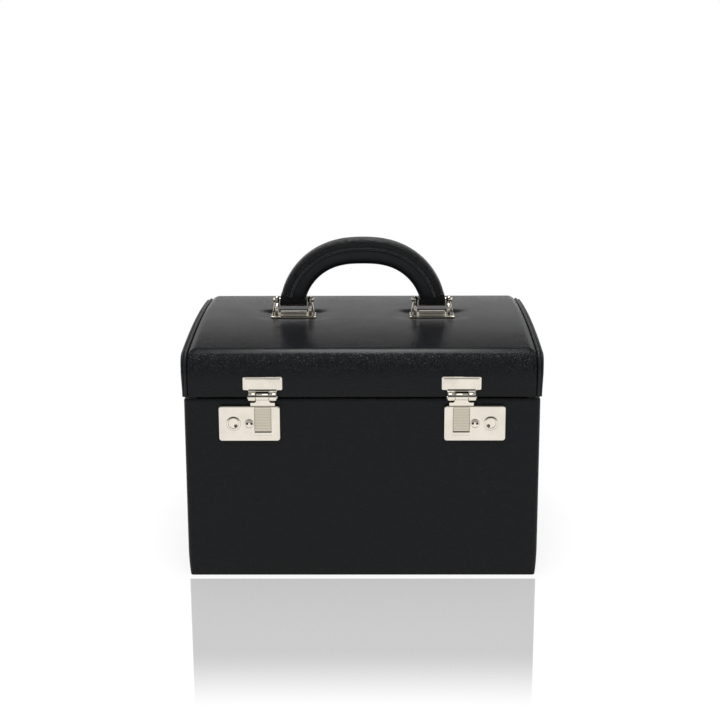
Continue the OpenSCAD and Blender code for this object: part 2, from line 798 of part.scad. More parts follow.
// Neck, then shoulders joined to it by hollow curves
module hasp_outline() {
    flare = 2;
    shoulder_h = shoulder_top - shoulder_low;
    translate([-neck_w / 2, shoulder_low]) square([neck_w, hasp_z - shoulder_low]);
    translate([-shoulder_w / 2, shoulder_low]) square([shoulder_w, shoulder_h - flare / 2]);
    for (s = [0, 1]) mirror([s, 0])
        difference() {
            translate([neck_w / 2 - touch, shoulder_low]) square([flare + touch, shoulder_h + flare / 2]);
            translate([neck_w / 2 + flare, shoulder_top + flare / 2]) circle(flare, $fn = smooth);
        }
}

module hasp_pins() color(nickel_colour)
    both_sides() lock_place() bar_x(-knuckles_w / 2 - 0.3, knuckles_w / 2 + 0.3, hasp_y, hasp_z, hasp_pin_r);

// ---- Lid hinges: five knuckles, three on the body's leaf

module hinge_place() {
    translate([hinge_x, 0, hinge_z]) children();
}

// One leaf above or below the axis; its knuckles are numbered from the left
module hinge_leaf(up, knuckles)
    hinge_place() mirror([0, 0, up ? 0 : 1])
        difference() {
            union() {
                translate([0, back_y + touch + leaf_t, leaf_start + leaf_h / 2]) rotate([90, 0, 0])
                    linear_extrude(height = leaf_t) rounded_rect(leaf_w, leaf_h, 2);
                for (k = knuckles) {
                    x = -leaf_w / 2 + k * knuckle_w;
                    bar_x(x + hinge_gap / 2, x + knuckle_w - hinge_gap / 2, hinge_y, 0, hinge_r);
                    block([x + hinge_gap / 2, back_y + touch, 0],
                          [x + knuckle_w - hinge_gap / 2, back_y + touch + leaf_t, leaf_start + 3]);
                }
            }
            bar_x(-leaf_w, leaf_w, hinge_y, 0, hinge_pin_r + pin_play);
            for (x = [-leaf_w / 3, 0, leaf_w / 3])
                bar_y(back_y - over, back_y + leaf_t + over, x, leaf_start + leaf_h / 2, rivet_r + touch);
        }

module body_hinge_leaves() color(nickel_colour)
    both_sides() hinge_leaf(false, [0, 2, 4]);

module lid_hinge_leaves() color(nickel_colour)
    both_sides() hinge_leaf(true, [1, 3]);

module hinge_pins() color(nickel_colour)
    both_sides() hinge_place() bar_x(-leaf_w / 2 - 0.4, leaf_w / 2 + 0.4, hinge_y, 0, hinge_pin_r);

module leaf_rivets(up, depth, play)
    hinge_place() for (x = [-leaf_w / 3, 0, leaf_w / 3])
        bar_y(back_y - depth - play, back_y + touch + leaf_t + touch, x,
              (up ? 1 : -1) * (leaf_start + leaf_h / 2), rivet_r + play);

module body_rivet_shanks(play) leaf_rivets(false, leather_t + post_l, play);

module lid_rivet_shanks(play) leaf_rivets(true, cover_t + post_l - 1.5, play);

// Low domed heads on the outside of the leaf
module rivet_heads(up)
    hinge_place() for (x = [-leaf_w / 3, 0, leaf_w / 3])
        translate([x, back_y + touch + leaf_t, (up ? 1 : -1) * (leaf_start + leaf_h / 2)]) rotate([-90, 0, 0])
            rivet_head();

module rivet_head() {
    dome_r = (pow(rivet_head_r, 2) + pow(rivet_head_h, 2)) / (2 * rivet_head_h);
    intersection() {
        translate([0, 0, rivet_head_h - dome_r]) sphere(dome_r, $fn = smooth);
        cylinder(h = rivet_head_h + over, r = rivet_head_r + over, $fn = smooth);
    }
}

module body_hinge_rivets() color(nickel_colour)
    both_sides() {
        body_rivet_shanks(0);
        rivet_heads(false);
    }

module lid_hinge_rivets() color(nickel_colour)
    both_sides() {
        lid_rivet_shanks(0);
        rivet_heads(true);
    }

// ---- Tray: ring rolls on the left, four compartments on the right

module tray_floor() color(suede_colour)
    block([-tray_x, -tray_y, tray_z], [tray_x, tray_y, tray_in_z]);

module tray_walls() color(suede_colour) {
    for (s = [0, 1]) mirror([0, s, 0])
        block([-tray_x, tray_in_y, tray_in_z], [tray_x, tray_y, tray_top]);
    both_sides() block([tray_in_x, -tray_in_y + touch, tray_in_z], [tray_x, tray_in_y - touch, tray_top]);
}

module tray_dividers() color(suede_colour) {
    half = divider_t / 2;
    top = tray_in_z + tray_divider_h;
    mid = tray_in_x / 2;
    block([-half, -tray_in_y, tray_in_z], [half, tray_in_y, top]);
    block([half + touch, -half, tray_in_z], [tray_in_x - touch, half, top]);
    for (s = [0, 1]) mirror([0, s, 0])
        block([mid - half, half + touch, tray_in_z], [mid + half, tray_in_y - touch, top]);
}

module ring_rolls() color(suede_colour)
    for (i = [0:roll_count - 1])
        bar_x(-tray_in_x + touch, -divider_t / 2 - touch, -tray_in_y + (i + 0.5) * roll_pitch,
              tray_in_z + ring_roll_r + touch, ring_roll_r);

module tray_tabs() color(leather_colour)
    both_sides() block([tray_in_x - tab_t - touch, -tab_w / 2 + 30, tray_top + tab_up - tab_l],
                       [tray_in_x - touch, tab_w / 2 + 30, tray_top + tab_up]);

base_leather();
body_leather();
front_board();
back_board();
side_boards();
base_board();
liner_panels();
floor_pad();
tray_ledges();
base_dividers();
lid_shell();
lid_end_boards();
lid_cover();
lid_end_panels();
lid_piping();
lid_lining();
mirror_bed();
mirror_glass();
mirror_frame();
handle_brackets();
handle_pins();
bracket_screws();
bracket_backing_plates();
handle_core();
handle_strap();
handle_loops();
lock_cases();
lock_back_plates();
lock_collars();
spanner_screws();
left_side() key_plug();  // key_plug_left
key_plug();  // key_plug_right
left_side() thumb_slide();  // thumb_slide_left
thumb_slide();  // thumb_slide_right
slide_spring(-1);  // slide_spring_left
slide_spring(1);  // slide_spring_right
catch_plates();
left_side() hasp();  // hasp_left
hasp();  // hasp_right
hasp_pins();
body_hinge_leaves();
lid_hinge_leaves();
hinge_pins();
body_hinge_rivets();
lid_hinge_rivets();
tray_floor();
tray_walls();
tray_dividers();
ring_rolls();
tray_tabs();
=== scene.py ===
"""Leather jewellery case: its leather, metal, wood and suede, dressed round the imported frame.

Sizes are in millimetres, and mesh_of() turns them into metres. The lid's outline, the handle's
line and the places of the locks come from the frame's boxes and from the driving sizes below.
"""

import json
import math

import bmesh
import bpy
import numpy as np
from mathutils import Matrix, Vector, noise
from mathutils.geometry import tessellate_polygon


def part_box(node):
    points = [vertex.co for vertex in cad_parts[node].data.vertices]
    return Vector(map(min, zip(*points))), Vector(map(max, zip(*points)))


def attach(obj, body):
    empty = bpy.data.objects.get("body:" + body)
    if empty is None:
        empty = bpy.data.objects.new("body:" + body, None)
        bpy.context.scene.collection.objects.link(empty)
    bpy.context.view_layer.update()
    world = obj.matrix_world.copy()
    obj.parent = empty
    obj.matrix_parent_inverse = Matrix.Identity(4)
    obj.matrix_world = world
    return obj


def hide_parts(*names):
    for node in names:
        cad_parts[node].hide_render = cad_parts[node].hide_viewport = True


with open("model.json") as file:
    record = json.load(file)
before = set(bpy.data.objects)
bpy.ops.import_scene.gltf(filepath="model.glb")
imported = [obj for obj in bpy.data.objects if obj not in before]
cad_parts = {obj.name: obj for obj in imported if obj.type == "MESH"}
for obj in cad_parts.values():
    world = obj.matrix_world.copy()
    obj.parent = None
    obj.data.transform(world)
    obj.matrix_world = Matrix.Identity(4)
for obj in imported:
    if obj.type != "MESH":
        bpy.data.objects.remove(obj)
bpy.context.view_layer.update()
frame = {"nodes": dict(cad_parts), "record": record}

MM = 0.001


def box_mm(node):
    """Lowest and highest corner of a node of the frame, in millimetres."""
    low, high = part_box(node)
    return np.array(low) / MM, np.array(high) / MM


# ---- Driving sizes, in millimetres

BODY_LOW, BODY_HIGH = box_mm("body_leather")
COVER_LOW, COVER_HIGH = box_mm("lid_cover")
LINER_HIGH = box_mm("liner_panels")[1]
FRONT_Y, BACK_Y = BODY_LOW[1], BODY_HIGH[1]
BODY_X = BODY_HIGH[0]
RIM_Z = BODY_HIGH[2]
LID_Z, TOP_Z = COVER_LOW[2], COVER_HIGH[2]
COVER_X = COVER_HIGH[0]

CORNER_R = 4.0
ROLL_R = 17.0
CROWN_R = 1200.0
ROLL_Y = BACK_Y - ROLL_R
CROWN_ZC = TOP_Z - CROWN_R
ROLL_ZC = CROWN_ZC + math.sqrt((CROWN_R - ROLL_R) ** 2 - ROLL_Y ** 2)
CROWN_A = math.asin(ROLL_Y / (CROWN_R - ROLL_R))

PIN_LOW, PIN_HIGH = box_mm("handle_pins")
PIN_Y = (PIN_LOW[1] + PIN_HIGH[1]) / 2
PIN_Z = (PIN_LOW[2] + PIN_HIGH[2]) / 2
HANDLE_SPAN = 124.4
HANDLE_RISE = 45.1
SHOULDER, FLATNESS = 2.39, 1.61
FOOT_UP = 3.6
BRACKET_W = 40.0
BRACKET_D = 19.0
FOOT_SLOPE = 0.216

CASE_LOW, CASE_HIGH = box_mm("lock_cases")
SLIDE_LOW, SLIDE_HIGH = box_mm("thumb_slide_right")
HASP_LOW, HASP_HIGH = box_mm("hasp_right")
PLUG_LOW, PLUG_HIGH = box_mm("key_plug_right")
LOCK_X = (HASP_LOW[0] + HASP_HIGH[0]) / 2


# ---- The camera

def add_camera():
    """A long lens, a little above the case and almost square to it."""
    pitch, yaw, roll = (math.radians(a) for a in (14.077, -0.494, -0.202))
    forward = Vector((math.sin(yaw) * math.cos(pitch), math.cos(yaw) * math.cos(pitch), -math.sin(pitch)))
    level = Vector((math.cos(yaw), -math.sin(yaw), 0))
    upright = level.cross(forward)
    right = math.cos(roll) * level + math.sin(roll) * upright
    up = math.cos(roll) * upright - math.sin(roll) * level
    data = bpy.data.cameras.new("camera")
    data.sensor_width = 36
    data.lens = 78.703
    data.clip_start, data.clip_end = 0.05, 50
    camera = bpy.data.objects.new("camera", data)
    turn = Matrix((right, up, -forward)).transposed().to_4x4()
    camera.matrix_world = Matrix.Translation((0.00930, -1.38255, 0.50605)) @ turn
    bpy.context.scene.collection.objects.link(camera)
    bpy.context.scene.camera = camera


# ---- Node trees, written as expressions

class Wire:
    """An output socket that takes Python's arithmetic; each operation adds a Math node."""

    def __init__(self, nodes, socket):
        self.nodes, self.socket = nodes, socket

    def _math(self, operation, *values):
        return self.nodes.add("ShaderNodeMath", {"operation": operation}, *values)

    def __add__(self, other): return self._math("ADD", self, other)
    def __sub__(self, other): return self._math("SUBTRACT", self, other)
    def __rsub__(self, other): return self._math("SUBTRACT", other, self)
    def __mul__(self, other): return self._math("MULTIPLY", self, other)
    def __truediv__(self, other): return self._math("DIVIDE", self, other)

    __radd__ = __add__
    __rmul__ = __mul__

    def smooth(self, low, high):
        """0 below low, 1 above high, and an even step between."""
        ends = {"From Min": low, "From Max": high}
        return self.nodes.add("ShaderNodeMapRange", {"interpolation_type": "SMOOTHSTEP"}, self, **ends)


class Nodes:
    """Adds nodes to a tree: the type first, then its settings, then what goes into its sockets."""

    def __init__(self, tree):
        self.tree = tree

    def add(self, kind, settings=None, *values, out=0, **sockets):
        node = self.tree.nodes.new(kind)
        for name, value in (settings or {}).items():
            setattr(node, name, value)
        named = [(node.inputs[name], value) for name, value in sockets.items()]
        for socket, value in [*zip(node.inputs, values), *named]:
            if isinstance(value, Wire):
                self.tree.links.new(value.socket, socket)
            elif value is not None:
                socket.default_value = value
        return Wire(self, node.outputs[out]) if len(node.outputs) else None

    def parts(self, vector):
        """The X, Y and Z of a vector."""
        split = self.tree.nodes.new("ShaderNodeSeparateXYZ")
        self.tree.links.new(vector.socket, split.inputs[0])
        return [Wire(self, socket) for socket in split.outputs]

    def blend(self, share, a, b):
        """A colour between a and b."""
        node = self.tree.nodes.new("ShaderNodeMix")
        node.data_type = "RGBA"
        for socket, value in zip((node.inputs[0], node.inputs[6], node.inputs[7]), (share, a, b)):
            if isinstance(value, Wire):
                self.tree.links.new(value.socket, socket)
            else:
                socket.default_value = (*value, 1) if isinstance(value, tuple) else value
        return Wire(self, node.outputs[2])


class Finish(Nodes):
    """A material with one Principled shader, which wear() joins to its output."""

    def __init__(self, name):
        self.material = bpy.data.materials.new(name)
        self.material.use_nodes = True
        super().__init__(self.material.node_tree)
        self.tree.nodes.clear()
        self.place = self.add("ShaderNodeTexCoord", out="Object")

    def noise(self, size, detail=2, place=None):
        """Soft noise of about a size in metres, from 0 to 1."""
        return self.add("ShaderNodeTexNoise", None, Vector=place or self.place, Scale=1 / size, Detail=detail)

    def cells(self, size, feature, place=None):
        """Distances in a Voronoi pattern with cells of about a size in metres."""
        settings = {"feature": feature}
        return self.add("ShaderNodeTexVoronoi", settings, out="Distance", Vector=place or self.place,
                        Scale=1 / size)

    def warped(self, amount, size):
        """The object's coordinates, pushed about by noise."""
        push = self.add("ShaderNodeTexNoise", None, out="Color", Vector=self.place, Scale=1 / size, Detail=1)
        centred = self.add("ShaderNodeVectorMath", {"operation": "SUBTRACT"}, push, (0.5, 0.5, 0.5))
        scaled = self.add("ShaderNodeVectorMath", {"operation": "SCALE"}, centred, Scale=amount)
        return self.add("ShaderNodeVectorMath", {"operation": "ADD"}, self.place, scaled)

    def bump(self, height, distance):
        return self.add("ShaderNodeBump", None, Height=height, Distance=distance, Strength=1.0)

    def wear(self, **sockets):
        """Makes the shader, with its sockets' names as words joined by _ ."""
        shader = self.add("ShaderNodeBsdfPrincipled", None,
                          **{name.replace("_", " "): value for name, value in sockets.items()})
        self.add("ShaderNodeOutputMaterial", None, shader)
        return self.material


# ---- Materials

def pebbled_leather(name, tone, pebble, depth, roughness, ior, relief=None):
    """Leather with a grain of small round pebbles between fine creases. relief says how deep the
    grain is from place to place, as a share of depth."""
    skin = Finish(name)
    place = skin.warped(0.6 * pebble, 2.5 * pebble)
    edge = skin.cells(pebble, "DISTANCE_TO_EDGE", place)
    dome = edge.smooth(0.0, 0.42)
    patches = skin.noise(0.03)
    height = dome + 0.25 * skin.noise(0.4 * pebble) + 0.5 * skin.noise(3 * pebble)
    if relief:
        height = height * relief(skin)
    # The creases between the pebbles are painted darker than the pebble tops: painted shade, as the dome mask
    # darkens the colour towards each cell's edge.
    colour = skin.blend(dome, tuple(0.55 * c for c in tone), tone)
    return skin.wear(Base_Color=colour, Roughness=roughness + 0.10 * (1 - dome) + 0.10 * (patches - 0.5),
                     IOR=ior, Normal=skin.bump(height, depth))


def drawn_over_lid(skin):
    """Full grain on the lid's rolled edges, where the leather gathers, and little where it is
    drawn flat."""
    flat_share = 0.09
    height = skin.parts(skin.place)[2]
    below_crown = height.smooth(MM * (TOP_Z - 4.6), MM * (TOP_Z - 6.5))
    above_face = height.smooth(MM * (ROLL_ZC - 6), MM * (ROLL_ZC + 2))
    return flat_share + (1 - flat_share) * below_crown * above_face


def smooth_leather(name, tone, roughness, ior):
    """Leather that was stretched over an edge: its grain shows only as a fine net."""
    skin = Finish(name)
    net = skin.cells(0.0009, "DISTANCE_TO_EDGE").smooth(0.0, 0.3)
    folds = skin.noise(0.006, 3)
    height = 0.5 * net + folds
    # The lines of the fine net are painted darker than the leather between them: painted shade in its fine
    # creases.
    colour = skin.blend(net, tuple(0.7 * c for c in tone), tone)
    return skin.wear(Base_Color=colour, Roughness=roughness + 0.12 * (folds - 0.5), IOR=ior,
                     Normal=skin.bump(height, 0.00012))


def plated_metal(name, tone, roughness):
    """Polished plate: a few soft smears and a faint waviness from the stamping."""
    plate = Finish(name)
    smears = plate.noise(0.012, 3)
    wave = plate.noise(0.006, 1)
    colour = plate.blend(smears.smooth(0.35, 0.75), tone, tuple(0.94 * c for c in tone))
    return plate.wear(Base_Color=colour, Metallic=1.0, Roughness=roughness + 0.08 * smears.smooth(0.4, 0.8),
                      Normal=plate.bump(wave, 0.00004))


def brushed_metal(name, tone, roughness):
    """Satin metal with fine strokes across its height."""
    plate = Finish(name)
    stretched = plate.add("ShaderNodeVectorMath", {"operation": "MULTIPLY"}, plate.place, (1, 1, 40))
    strokes = plate.noise(0.004, 3, stretched)
    colour = plate.blend(strokes, tuple(0.9 * c for c in tone), tone)
    return plate.wear(Base_Color=colour, Metallic=1.0, Roughness=roughness + 0.12 * (strokes - 0.5),
                      Normal=plate.bump(strokes, 0.00002))


def suede(name, tone):
    """Suede cloth: short nap, brushed lighter and darker in soft patches."""
    cloth = Finish(name)
    nap = cloth.noise(0.0006, 3)
    brushed = cloth.noise(0.018, 3, cloth.warped(0.01, 0.03))
    dark, mid, light = (tuple(share * c for c in tone) for share in (0.6, 0.82, 1.1))
    colour = cloth.blend(brushed.smooth(0.3, 0.7), mid, light)
    colour = cloth.blend(0.3 * nap, colour, dark)
    return cloth.wear(Base_Color=colour, Roughness=0.95, IOR=1.3, Sheen_Weight=0.35, Sheen_Roughness=0.4,
                      Normal=cloth.bump(nap + 0.5 * brushed, 0.00015))


def plywood(name, tone):
    """Birch ply: long fine fibres along X."""
    wood = Finish(name)
    stretched = wood.add("ShaderNodeVectorMath", {"operation": "MULTIPLY"}, wood.place, (0.06, 1, 1))
    fibres = wood.noise(0.002, 4, stretched)
    colour = wood.blend(fibres.smooth(0.3, 0.7), tone, tuple(0.78 * c for c in tone))
    return wood.wear(Base_Color=colour, Roughness=0.6 + 0.2 * fibres, Normal=wood.bump(fibres, 0.00008))


def mirror_glass(name):
    """Silvered glass with the faintest film of dust."""
    glass = Finish(name)
    film = glass.noise(0.02, 4)
    return glass.wear(Base_Color=(0.86, 0.88, 0.89, 1), Metallic=1.0,
                      Roughness=0.02 + 0.04 * film.smooth(0.5, 0.8))


def waxed_thread(name):
    """Black thread, its strands twisted."""
    thread = Finish(name)
    twist = thread.noise(0.0004, 2)
    colour = thread.blend(twist, (0.008, 0.008, 0.009), (0.02, 0.02, 0.022))
    return thread.wear(Base_Color=colour, Roughness=0.5 + 0.2 * twist, IOR=1.4,
                       Normal=thread.bump(twist, 0.0001))


BLACK = (0.0094, 0.0101, 0.0113)
NICKEL = (0.83, 0.775, 0.68)

FINISHES = {name: make(name, *sizes) for name, make, *sizes in (
    ("case_leather", pebbled_leather, BLACK, 0.0017, 0.00016, 0.16, 1.22),
    ("base_leather", smooth_leather, BLACK, 0.6, 1.2),
    ("piping_leather", smooth_leather, BLACK, 0.30, 1.3),
    ("handle_leather", smooth_leather, BLACK, 0.33, 1.3),
    ("suede", suede, (0.165, 0.155, 0.145)),
    ("plywood", plywood, (0.48, 0.32, 0.17)),
    ("nickel", plated_metal, NICKEL, 0.10),
    ("slide_nickel", brushed_metal, (0.73, 0.68, 0.57), 0.30),
    ("zinc_steel", brushed_metal, (0.55, 0.55, 0.53), 0.35),
    ("spring_steel", brushed_metal, (0.5, 0.5, 0.5), 0.3),
    ("mirror", mirror_glass),
)}
THREAD = waxed_thread("waxed_thread")
CAST_NICKEL = plated_metal("cast_nickel", NICKEL, 0.2)
# Glossy edge dressing for the handle's beads, in a grey-black lighter than the black leather: that lighter
# tone is partly a painted highlight along the strap's edges.
EDGE_DRESSING_AND_PAINTED_HIGHLIGHT = smooth_leather("edge_dressing", (0.03, 0.031, 0.034), 0.22, 1.7)
LID_LEATHER = pebbled_leather("lid_leather", BLACK, 0.0017, 0.00046, 0.14, 1.22, drawn_over_lid)
STRAP_LEATHER = pebbled_leather("strap_leather", BLACK, 0.0015, 0.00030, 0.22, 1.35)


# ---- Mesh tools

def smooth(mesh, sharp=40):
    """Shades a mesh smooth, except over edges sharper than an angle."""
    mesh.shade_smooth()
    mesh.set_sharp_from_angle(angle=math.radians(sharp))


def cleaned(mesh, merge, sharp=40):
    """The mesh with doubled points merged and its faces turned outwards."""
    shape = bmesh.new()
    shape.from_mesh(mesh)
    bmesh.ops.remove_doubles(shape, verts=shape.verts, dist=merge)
    bmesh.ops.recalc_face_normals(shape, faces=shape.faces)
    shape.to_mesh(mesh)
    shape.free()
    smooth(mesh, sharp)
    return mesh


def mesh_of(name, points, faces, sharp=40):
    """A mesh in metres from points in millimetres."""
    mesh = bpy.data.meshes.new(name)
    mesh.from_pydata([tuple(MM * float(c) for c in p) for p in points], [], faces)
    return cleaned(mesh, 1e-7, sharp)


def holder_of(data):
    """A passing object that holds a curve or mesh while a new mesh is made from it."""
    holder = bpy.data.objects.new("holder", data)
    bpy.context.scene.collection.objects.link(holder)
    return holder


def evaluated(holder):
    """The mesh that a passing object's modifiers or curve settings make."""
    bpy.context.view_layer.update()
    return bpy.data.meshes.new_from_object(holder.evaluated_get(bpy.context.evaluated_depsgraph_get()))


def piece(name, mesh, body, finish, *nodes, material=None):
    """An object that moves with a body, has a finish and stands for the named nodes."""
    shown = bpy.data.objects.new(name, mesh)
    bpy.context.scene.collection.objects.link(shown)
    mesh.materials.clear()
    mesh.materials.append(material or FINISHES[finish])
    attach(shown, body)
    if nodes:
        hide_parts(*nodes)
    return shown


def loft(rings, caps="fan", closed=False):
    """Points and faces of a skin over rings of equally many points, each ring closed on itself.
    caps is fan for plain ends, strip for C-shaped ones, whose points pair up, or None."""
    rings = [np.asarray(r, float) for r in rings]
    count, n = len(rings), len(rings[0])
    points = np.concatenate(rings)
    faces = []
    for i in range(count if closed else count - 1):
        a, b = i * n, ((i + 1) % count) * n
        faces += [(a + k, a + (k + 1) % n, b + (k + 1) % n, b + k) for k in range(n)]
    for start in (0, (count - 1) * n) if caps and not closed else ():
        if caps == "fan":
            faces.append(tuple(start + k for k in range(n)))
        else:
            faces += [(start + k, start + k + 1, start + n - 2 - k, start + n - 1 - k)
                      for k in range(n // 2 - 1)]
    return points, faces


def arc(cx, cy, r, a0, a1, steps):
    """Points of an arc, angles in radians, with the angle of each."""
    angles = np.linspace(a0, a1, steps + 1)
    return np.stack([cx + r * np.cos(angles), cy + r * np.sin(angles), angles], 1)


def rounded_rect(w, h, r, cx=0.0, cy=0.0, steps=6):
    """Outline of a rectangle with round corners, anticlockwise from its right side."""
    corners = [(1, 1, 0), (-1, 1, 90), (-1, -1, 180), (1, -1, 270)]
    points = []
    for sx, sy, start in corners:
        a = math.radians(start)
        points.append(arc(cx + sx * (w / 2 - r), cy + sy * (h / 2 - r), r, a, a + math.pi / 2, steps)[:, :2])
    return np.concatenate(points)


def circle(cx, cy, r, steps=32):
    return arc(cx, cy, r, 0, 2 * math.pi, steps)[:-1, :2]


def plate(outlines, thickness, bevel):
    """A flat plate in XY with all its edges rounded and its middle at z 0. The outlines are the
    plate's own and then its holes'."""
    curve = bpy.data.curves.new("plate", "CURVE")
    curve.dimensions = "2D"
    curve.fill_mode = "BOTH"
    curve.extrude = (thickness / 2 - bevel) * MM
    curve.bevel_depth = bevel * MM
    curve.offset = -bevel * MM
    curve.bevel_resolution = 3
    for index, outline in enumerate(outlines):
        outline = np.asarray(outline, float)
        x, y = outline.T
        anticlockwise = (x * np.roll(y, -1) - y * np.roll(x, -1)).sum() > 0
        if anticlockwise != (index == 0):
            outline = outline[::-1]
        spline = curve.splines.new("POLY")
        spline.points.add(len(outline) - 1)
        for point, (x, y) in zip(spline.points, outline):
            point.co = (MM * x, MM * y, 0, 1)
        spline.use_cyclic_u = True
    holder = holder_of(curve)
    mesh = evaluated(holder)
    bpy.data.objects.remove(holder)
    return cleaned(mesh, 1e-6)


def lathe(profile, steps=40):
    """Points and faces of a turned shape round Z; the profile is (radius, z) from axis to axis."""
    angles = np.linspace(0, 2 * math.pi, steps, endpoint=False)
    rings = [[(r * math.cos(a), r * math.sin(a), z) for a in angles] for r, z in profile]
    return loft(rings)


def joined(*meshes):
    """One mesh from several, which are used up."""
    shape = bmesh.new()
    for mesh in meshes:
        shape.from_mesh(mesh)
        bpy.data.meshes.remove(mesh)
    whole = bpy.data.meshes.new("joined")
    shape.to_mesh(whole)
    shape.free()
    smooth(whole)
    return whole


def moved(mesh, move=(0, 0, 0), turn=None):
    """The mesh turned, then moved by millimetres."""
    if turn:
        mesh.transform(turn)
    mesh.transform(Matrix.Translation([MM * c for c in move]))
    return mesh


def mirrored(mesh):
    """A copy of the mesh on the other side of the YZ plane, its faces turned out again."""
    other = mesh.copy()
    other.transform(Matrix.Scale(-1, 4, (1, 0, 0)))
    other.flip_normals()
    return other


FACING_FRONT = Matrix.Rotation(math.radians(90), 4, "X")
ALONG_X = Matrix.Rotation(math.radians(90), 4, "Y")


def softened(node, width):
    """A copy of a CAD node's mesh with its sharp edges rounded."""
    mesh = frame["nodes"][node].data.copy()
    shape = bmesh.new()
    shape.from_mesh(mesh)
    bmesh.ops.remove_doubles(shape, verts=shape.verts, dist=1e-6)
    bmesh.ops.dissolve_limit(shape, angle_limit=math.radians(0.5), verts=shape.verts, edges=shape.edges)
    edges = [e for e in shape.edges if e.is_manifold and e.calc_face_angle(0) > math.radians(35)]
    bmesh.ops.bevel(shape, geom=edges, offset=width * MM, segments=3, profile=0.5, affect="EDGES",
                    clamp_overlap=True)
    shape.to_mesh(mesh)
    shape.free()
    smooth(mesh)
    return mesh


# ---- Case body

def body_cover():
    """Leather over the carcass: turned in at the rim over the boards, tucked under at the base."""
    rim_r, foot_r, foot_z, tuck_z = 1.6, 0.8, 0.0, 26.0
    rim_top = RIM_Z + 0.35

    def tuck(z):
        return 1.4 * max(1 - z / tuck_z, 0) ** 2

    wall = [(tuck(0) + foot_r - foot_r * math.sin(a), foot_z + foot_r - foot_r * math.cos(a))
            for a in np.linspace(0, math.pi / 2, 6)]
    wall += [(tuck(z), z) for z in np.linspace(foot_z + foot_r, tuck_z, 9)[1:]]
    wall += [(0, z) for z in np.linspace(tuck_z + 8, rim_top - rim_r - 2, 8)]
    wall += [(rim_r - rim_r * math.cos(a), rim_top - rim_r + rim_r * math.sin(a))
             for a in np.linspace(0, math.pi / 2, 6)]
    inner = BODY_X - LINER_HIGH[0] + 0.1
    wall += [(inner - 0.6, rim_top), (inner, rim_top - 0.5), (inner, RIM_Z - 3)]
    wall += [(1.8, RIM_Z - 3), (1.8, tuck_z), (1.9, foot_z + 3), (tuck(0) + foot_r, foot_z + 0.8)]
    width, depth = 2 * BODY_X + 1.1, BACK_Y - FRONT_Y + 0.4
    rings = []
    for inset, z in wall:
        outline = rounded_rect(width - 2 * inset, depth - 2 * inset, max(CORNER_R - inset, 0.3), steps=8)
        rings.append([(x, y, z) for x, y in outline])
    points, faces = loft(rings, closed=True)
    piece("body_cover", mesh_of("body_cover", points, faces), "case", "case_leather", "body_leather")


# ---- Lid

def lid_outline(inset, leg=6, roll=16, crown=40):
    """The lid's outline in (Y, Z), inset from the cover's outer face, with its outward normals."""
    r, half_pi = ROLL_R - inset, math.pi / 2
    low = np.linspace(LID_Z, ROLL_ZC, leg, endpoint=False)
    front = [(-(BACK_Y - inset), z, math.pi) for z in low]
    front += list(arc(-ROLL_Y, ROLL_ZC, r, math.pi, half_pi + CROWN_A, roll))
    middle = list(arc(0, CROWN_ZC, CROWN_R - inset, half_pi + CROWN_A, half_pi - CROWN_A, crown))[1:-1]
    back = [(-y, z, math.pi - a) for y, z, a in reversed(front)]
    line = np.array(front + middle + back)
    return line[:, :2], np.stack([np.cos(line[:, 2]), np.sin(line[:, 2])], 1)


def end_distances(limit, last):
    """Distances from an end, close together at first."""
    near = [0, 0.15, 0.4, 0.8, 1.3, 1.9, 2.6, 3.4, 4.4, 5.6, 7, 9, 12]
    return [d for d in near if d < limit] + list(np.arange(limit, last, 3.5))


def wadding(y, z):
    """How far the padded leather stands proud of the shell: most on the crown, little on the faces."""
    lean = np.arctan2(np.abs(y) - ROLL_Y, z - ROLL_ZC)
    share = np.clip((math.radians(80) - lean) / math.radians(55), 0, 1)
    return 0.25 + 1.6 * share * share * (3 - 2 * share)


def under_bracket(x, y):
    """1 where a bracket presses the wadding flat, 0 away from it."""
    dx = max(abs(abs(x) - HANDLE_SPAN / 2) - BRACKET_W / 2 - 0.5, 0)
    dy = max(abs(y - PIN_Y) - BRACKET_D / 2 - 0.5, 0)
    t = min(math.hypot(dx, dy) / 13, 1)
    return 1 - t * t * (3 - 2 * t)


def lid_cover():
    """Padded leather over the lid, rolled down into the seam at its ends."""
    edge_r, swell, thick, turn_in = 2.4, 6.0, 1.2, 1.2
    half = [COVER_X - d for d in end_distances(16, COVER_X)]
    stations = sorted(half + [-x for x in half])
    outline, normals = lid_outline(0, crown=70)
    low = outline[:, 1] - LID_Z
    hem = turn_in - np.sqrt(turn_in ** 2 - np.clip(turn_in - low, 0, turn_in) ** 2)
    fill = wadding(*outline.T) * np.clip(low / 16, 0, 1)
    rings = []
    for x in stations:
        d = COVER_X - abs(x)
        rolled = edge_r - math.sqrt(edge_r ** 2 - max(edge_r - d, 0) ** 2)
        t = min(d / swell, 1)
        press = np.array([under_bracket(x, y) if z > ROLL_ZC else 0 for y, z in outline])
        lumps = np.array([0.06 * noise.noise(Vector((x / 30, y / 30, z / 30))) for y, z in outline])
        proud = (fill * t * t * (3 - 2 * t) + lumps * t) * (1 - press) - rolled - hem
        outer = outline + normals * proud[:, None]
        inner = outline - normals * max(rolled + thick, 2.0)
        rings.append([(x, y, z) for y, z in outer] + [(x, y, z) for y, z in inner[::-1]])
    points, faces = loft(rings, caps="strip")
    cover = piece("lid_cover_leather", mesh_of("lid_cover_leather", points, faces), "lid", "case_leather",
                  "lid_cover", material=LID_LEATHER)


def lid_board():
    """The moulded shell under the leather, a little short of it at the ends."""
    rings = []
    for x in (-COVER_X + 2.2, COVER_X - 2.2):
        outer, inner = lid_outline(2.3)[0], lid_outline(6.9)[0]
        rings.append([(x, y, z) for y, z in outer] + [(x, y, z) for y, z in inner[::-1]])
    points, faces = loft(rings, caps="strip")
    piece("lid_board", mesh_of("lid_board", points, faces), "lid", "plywood", "lid_shell")


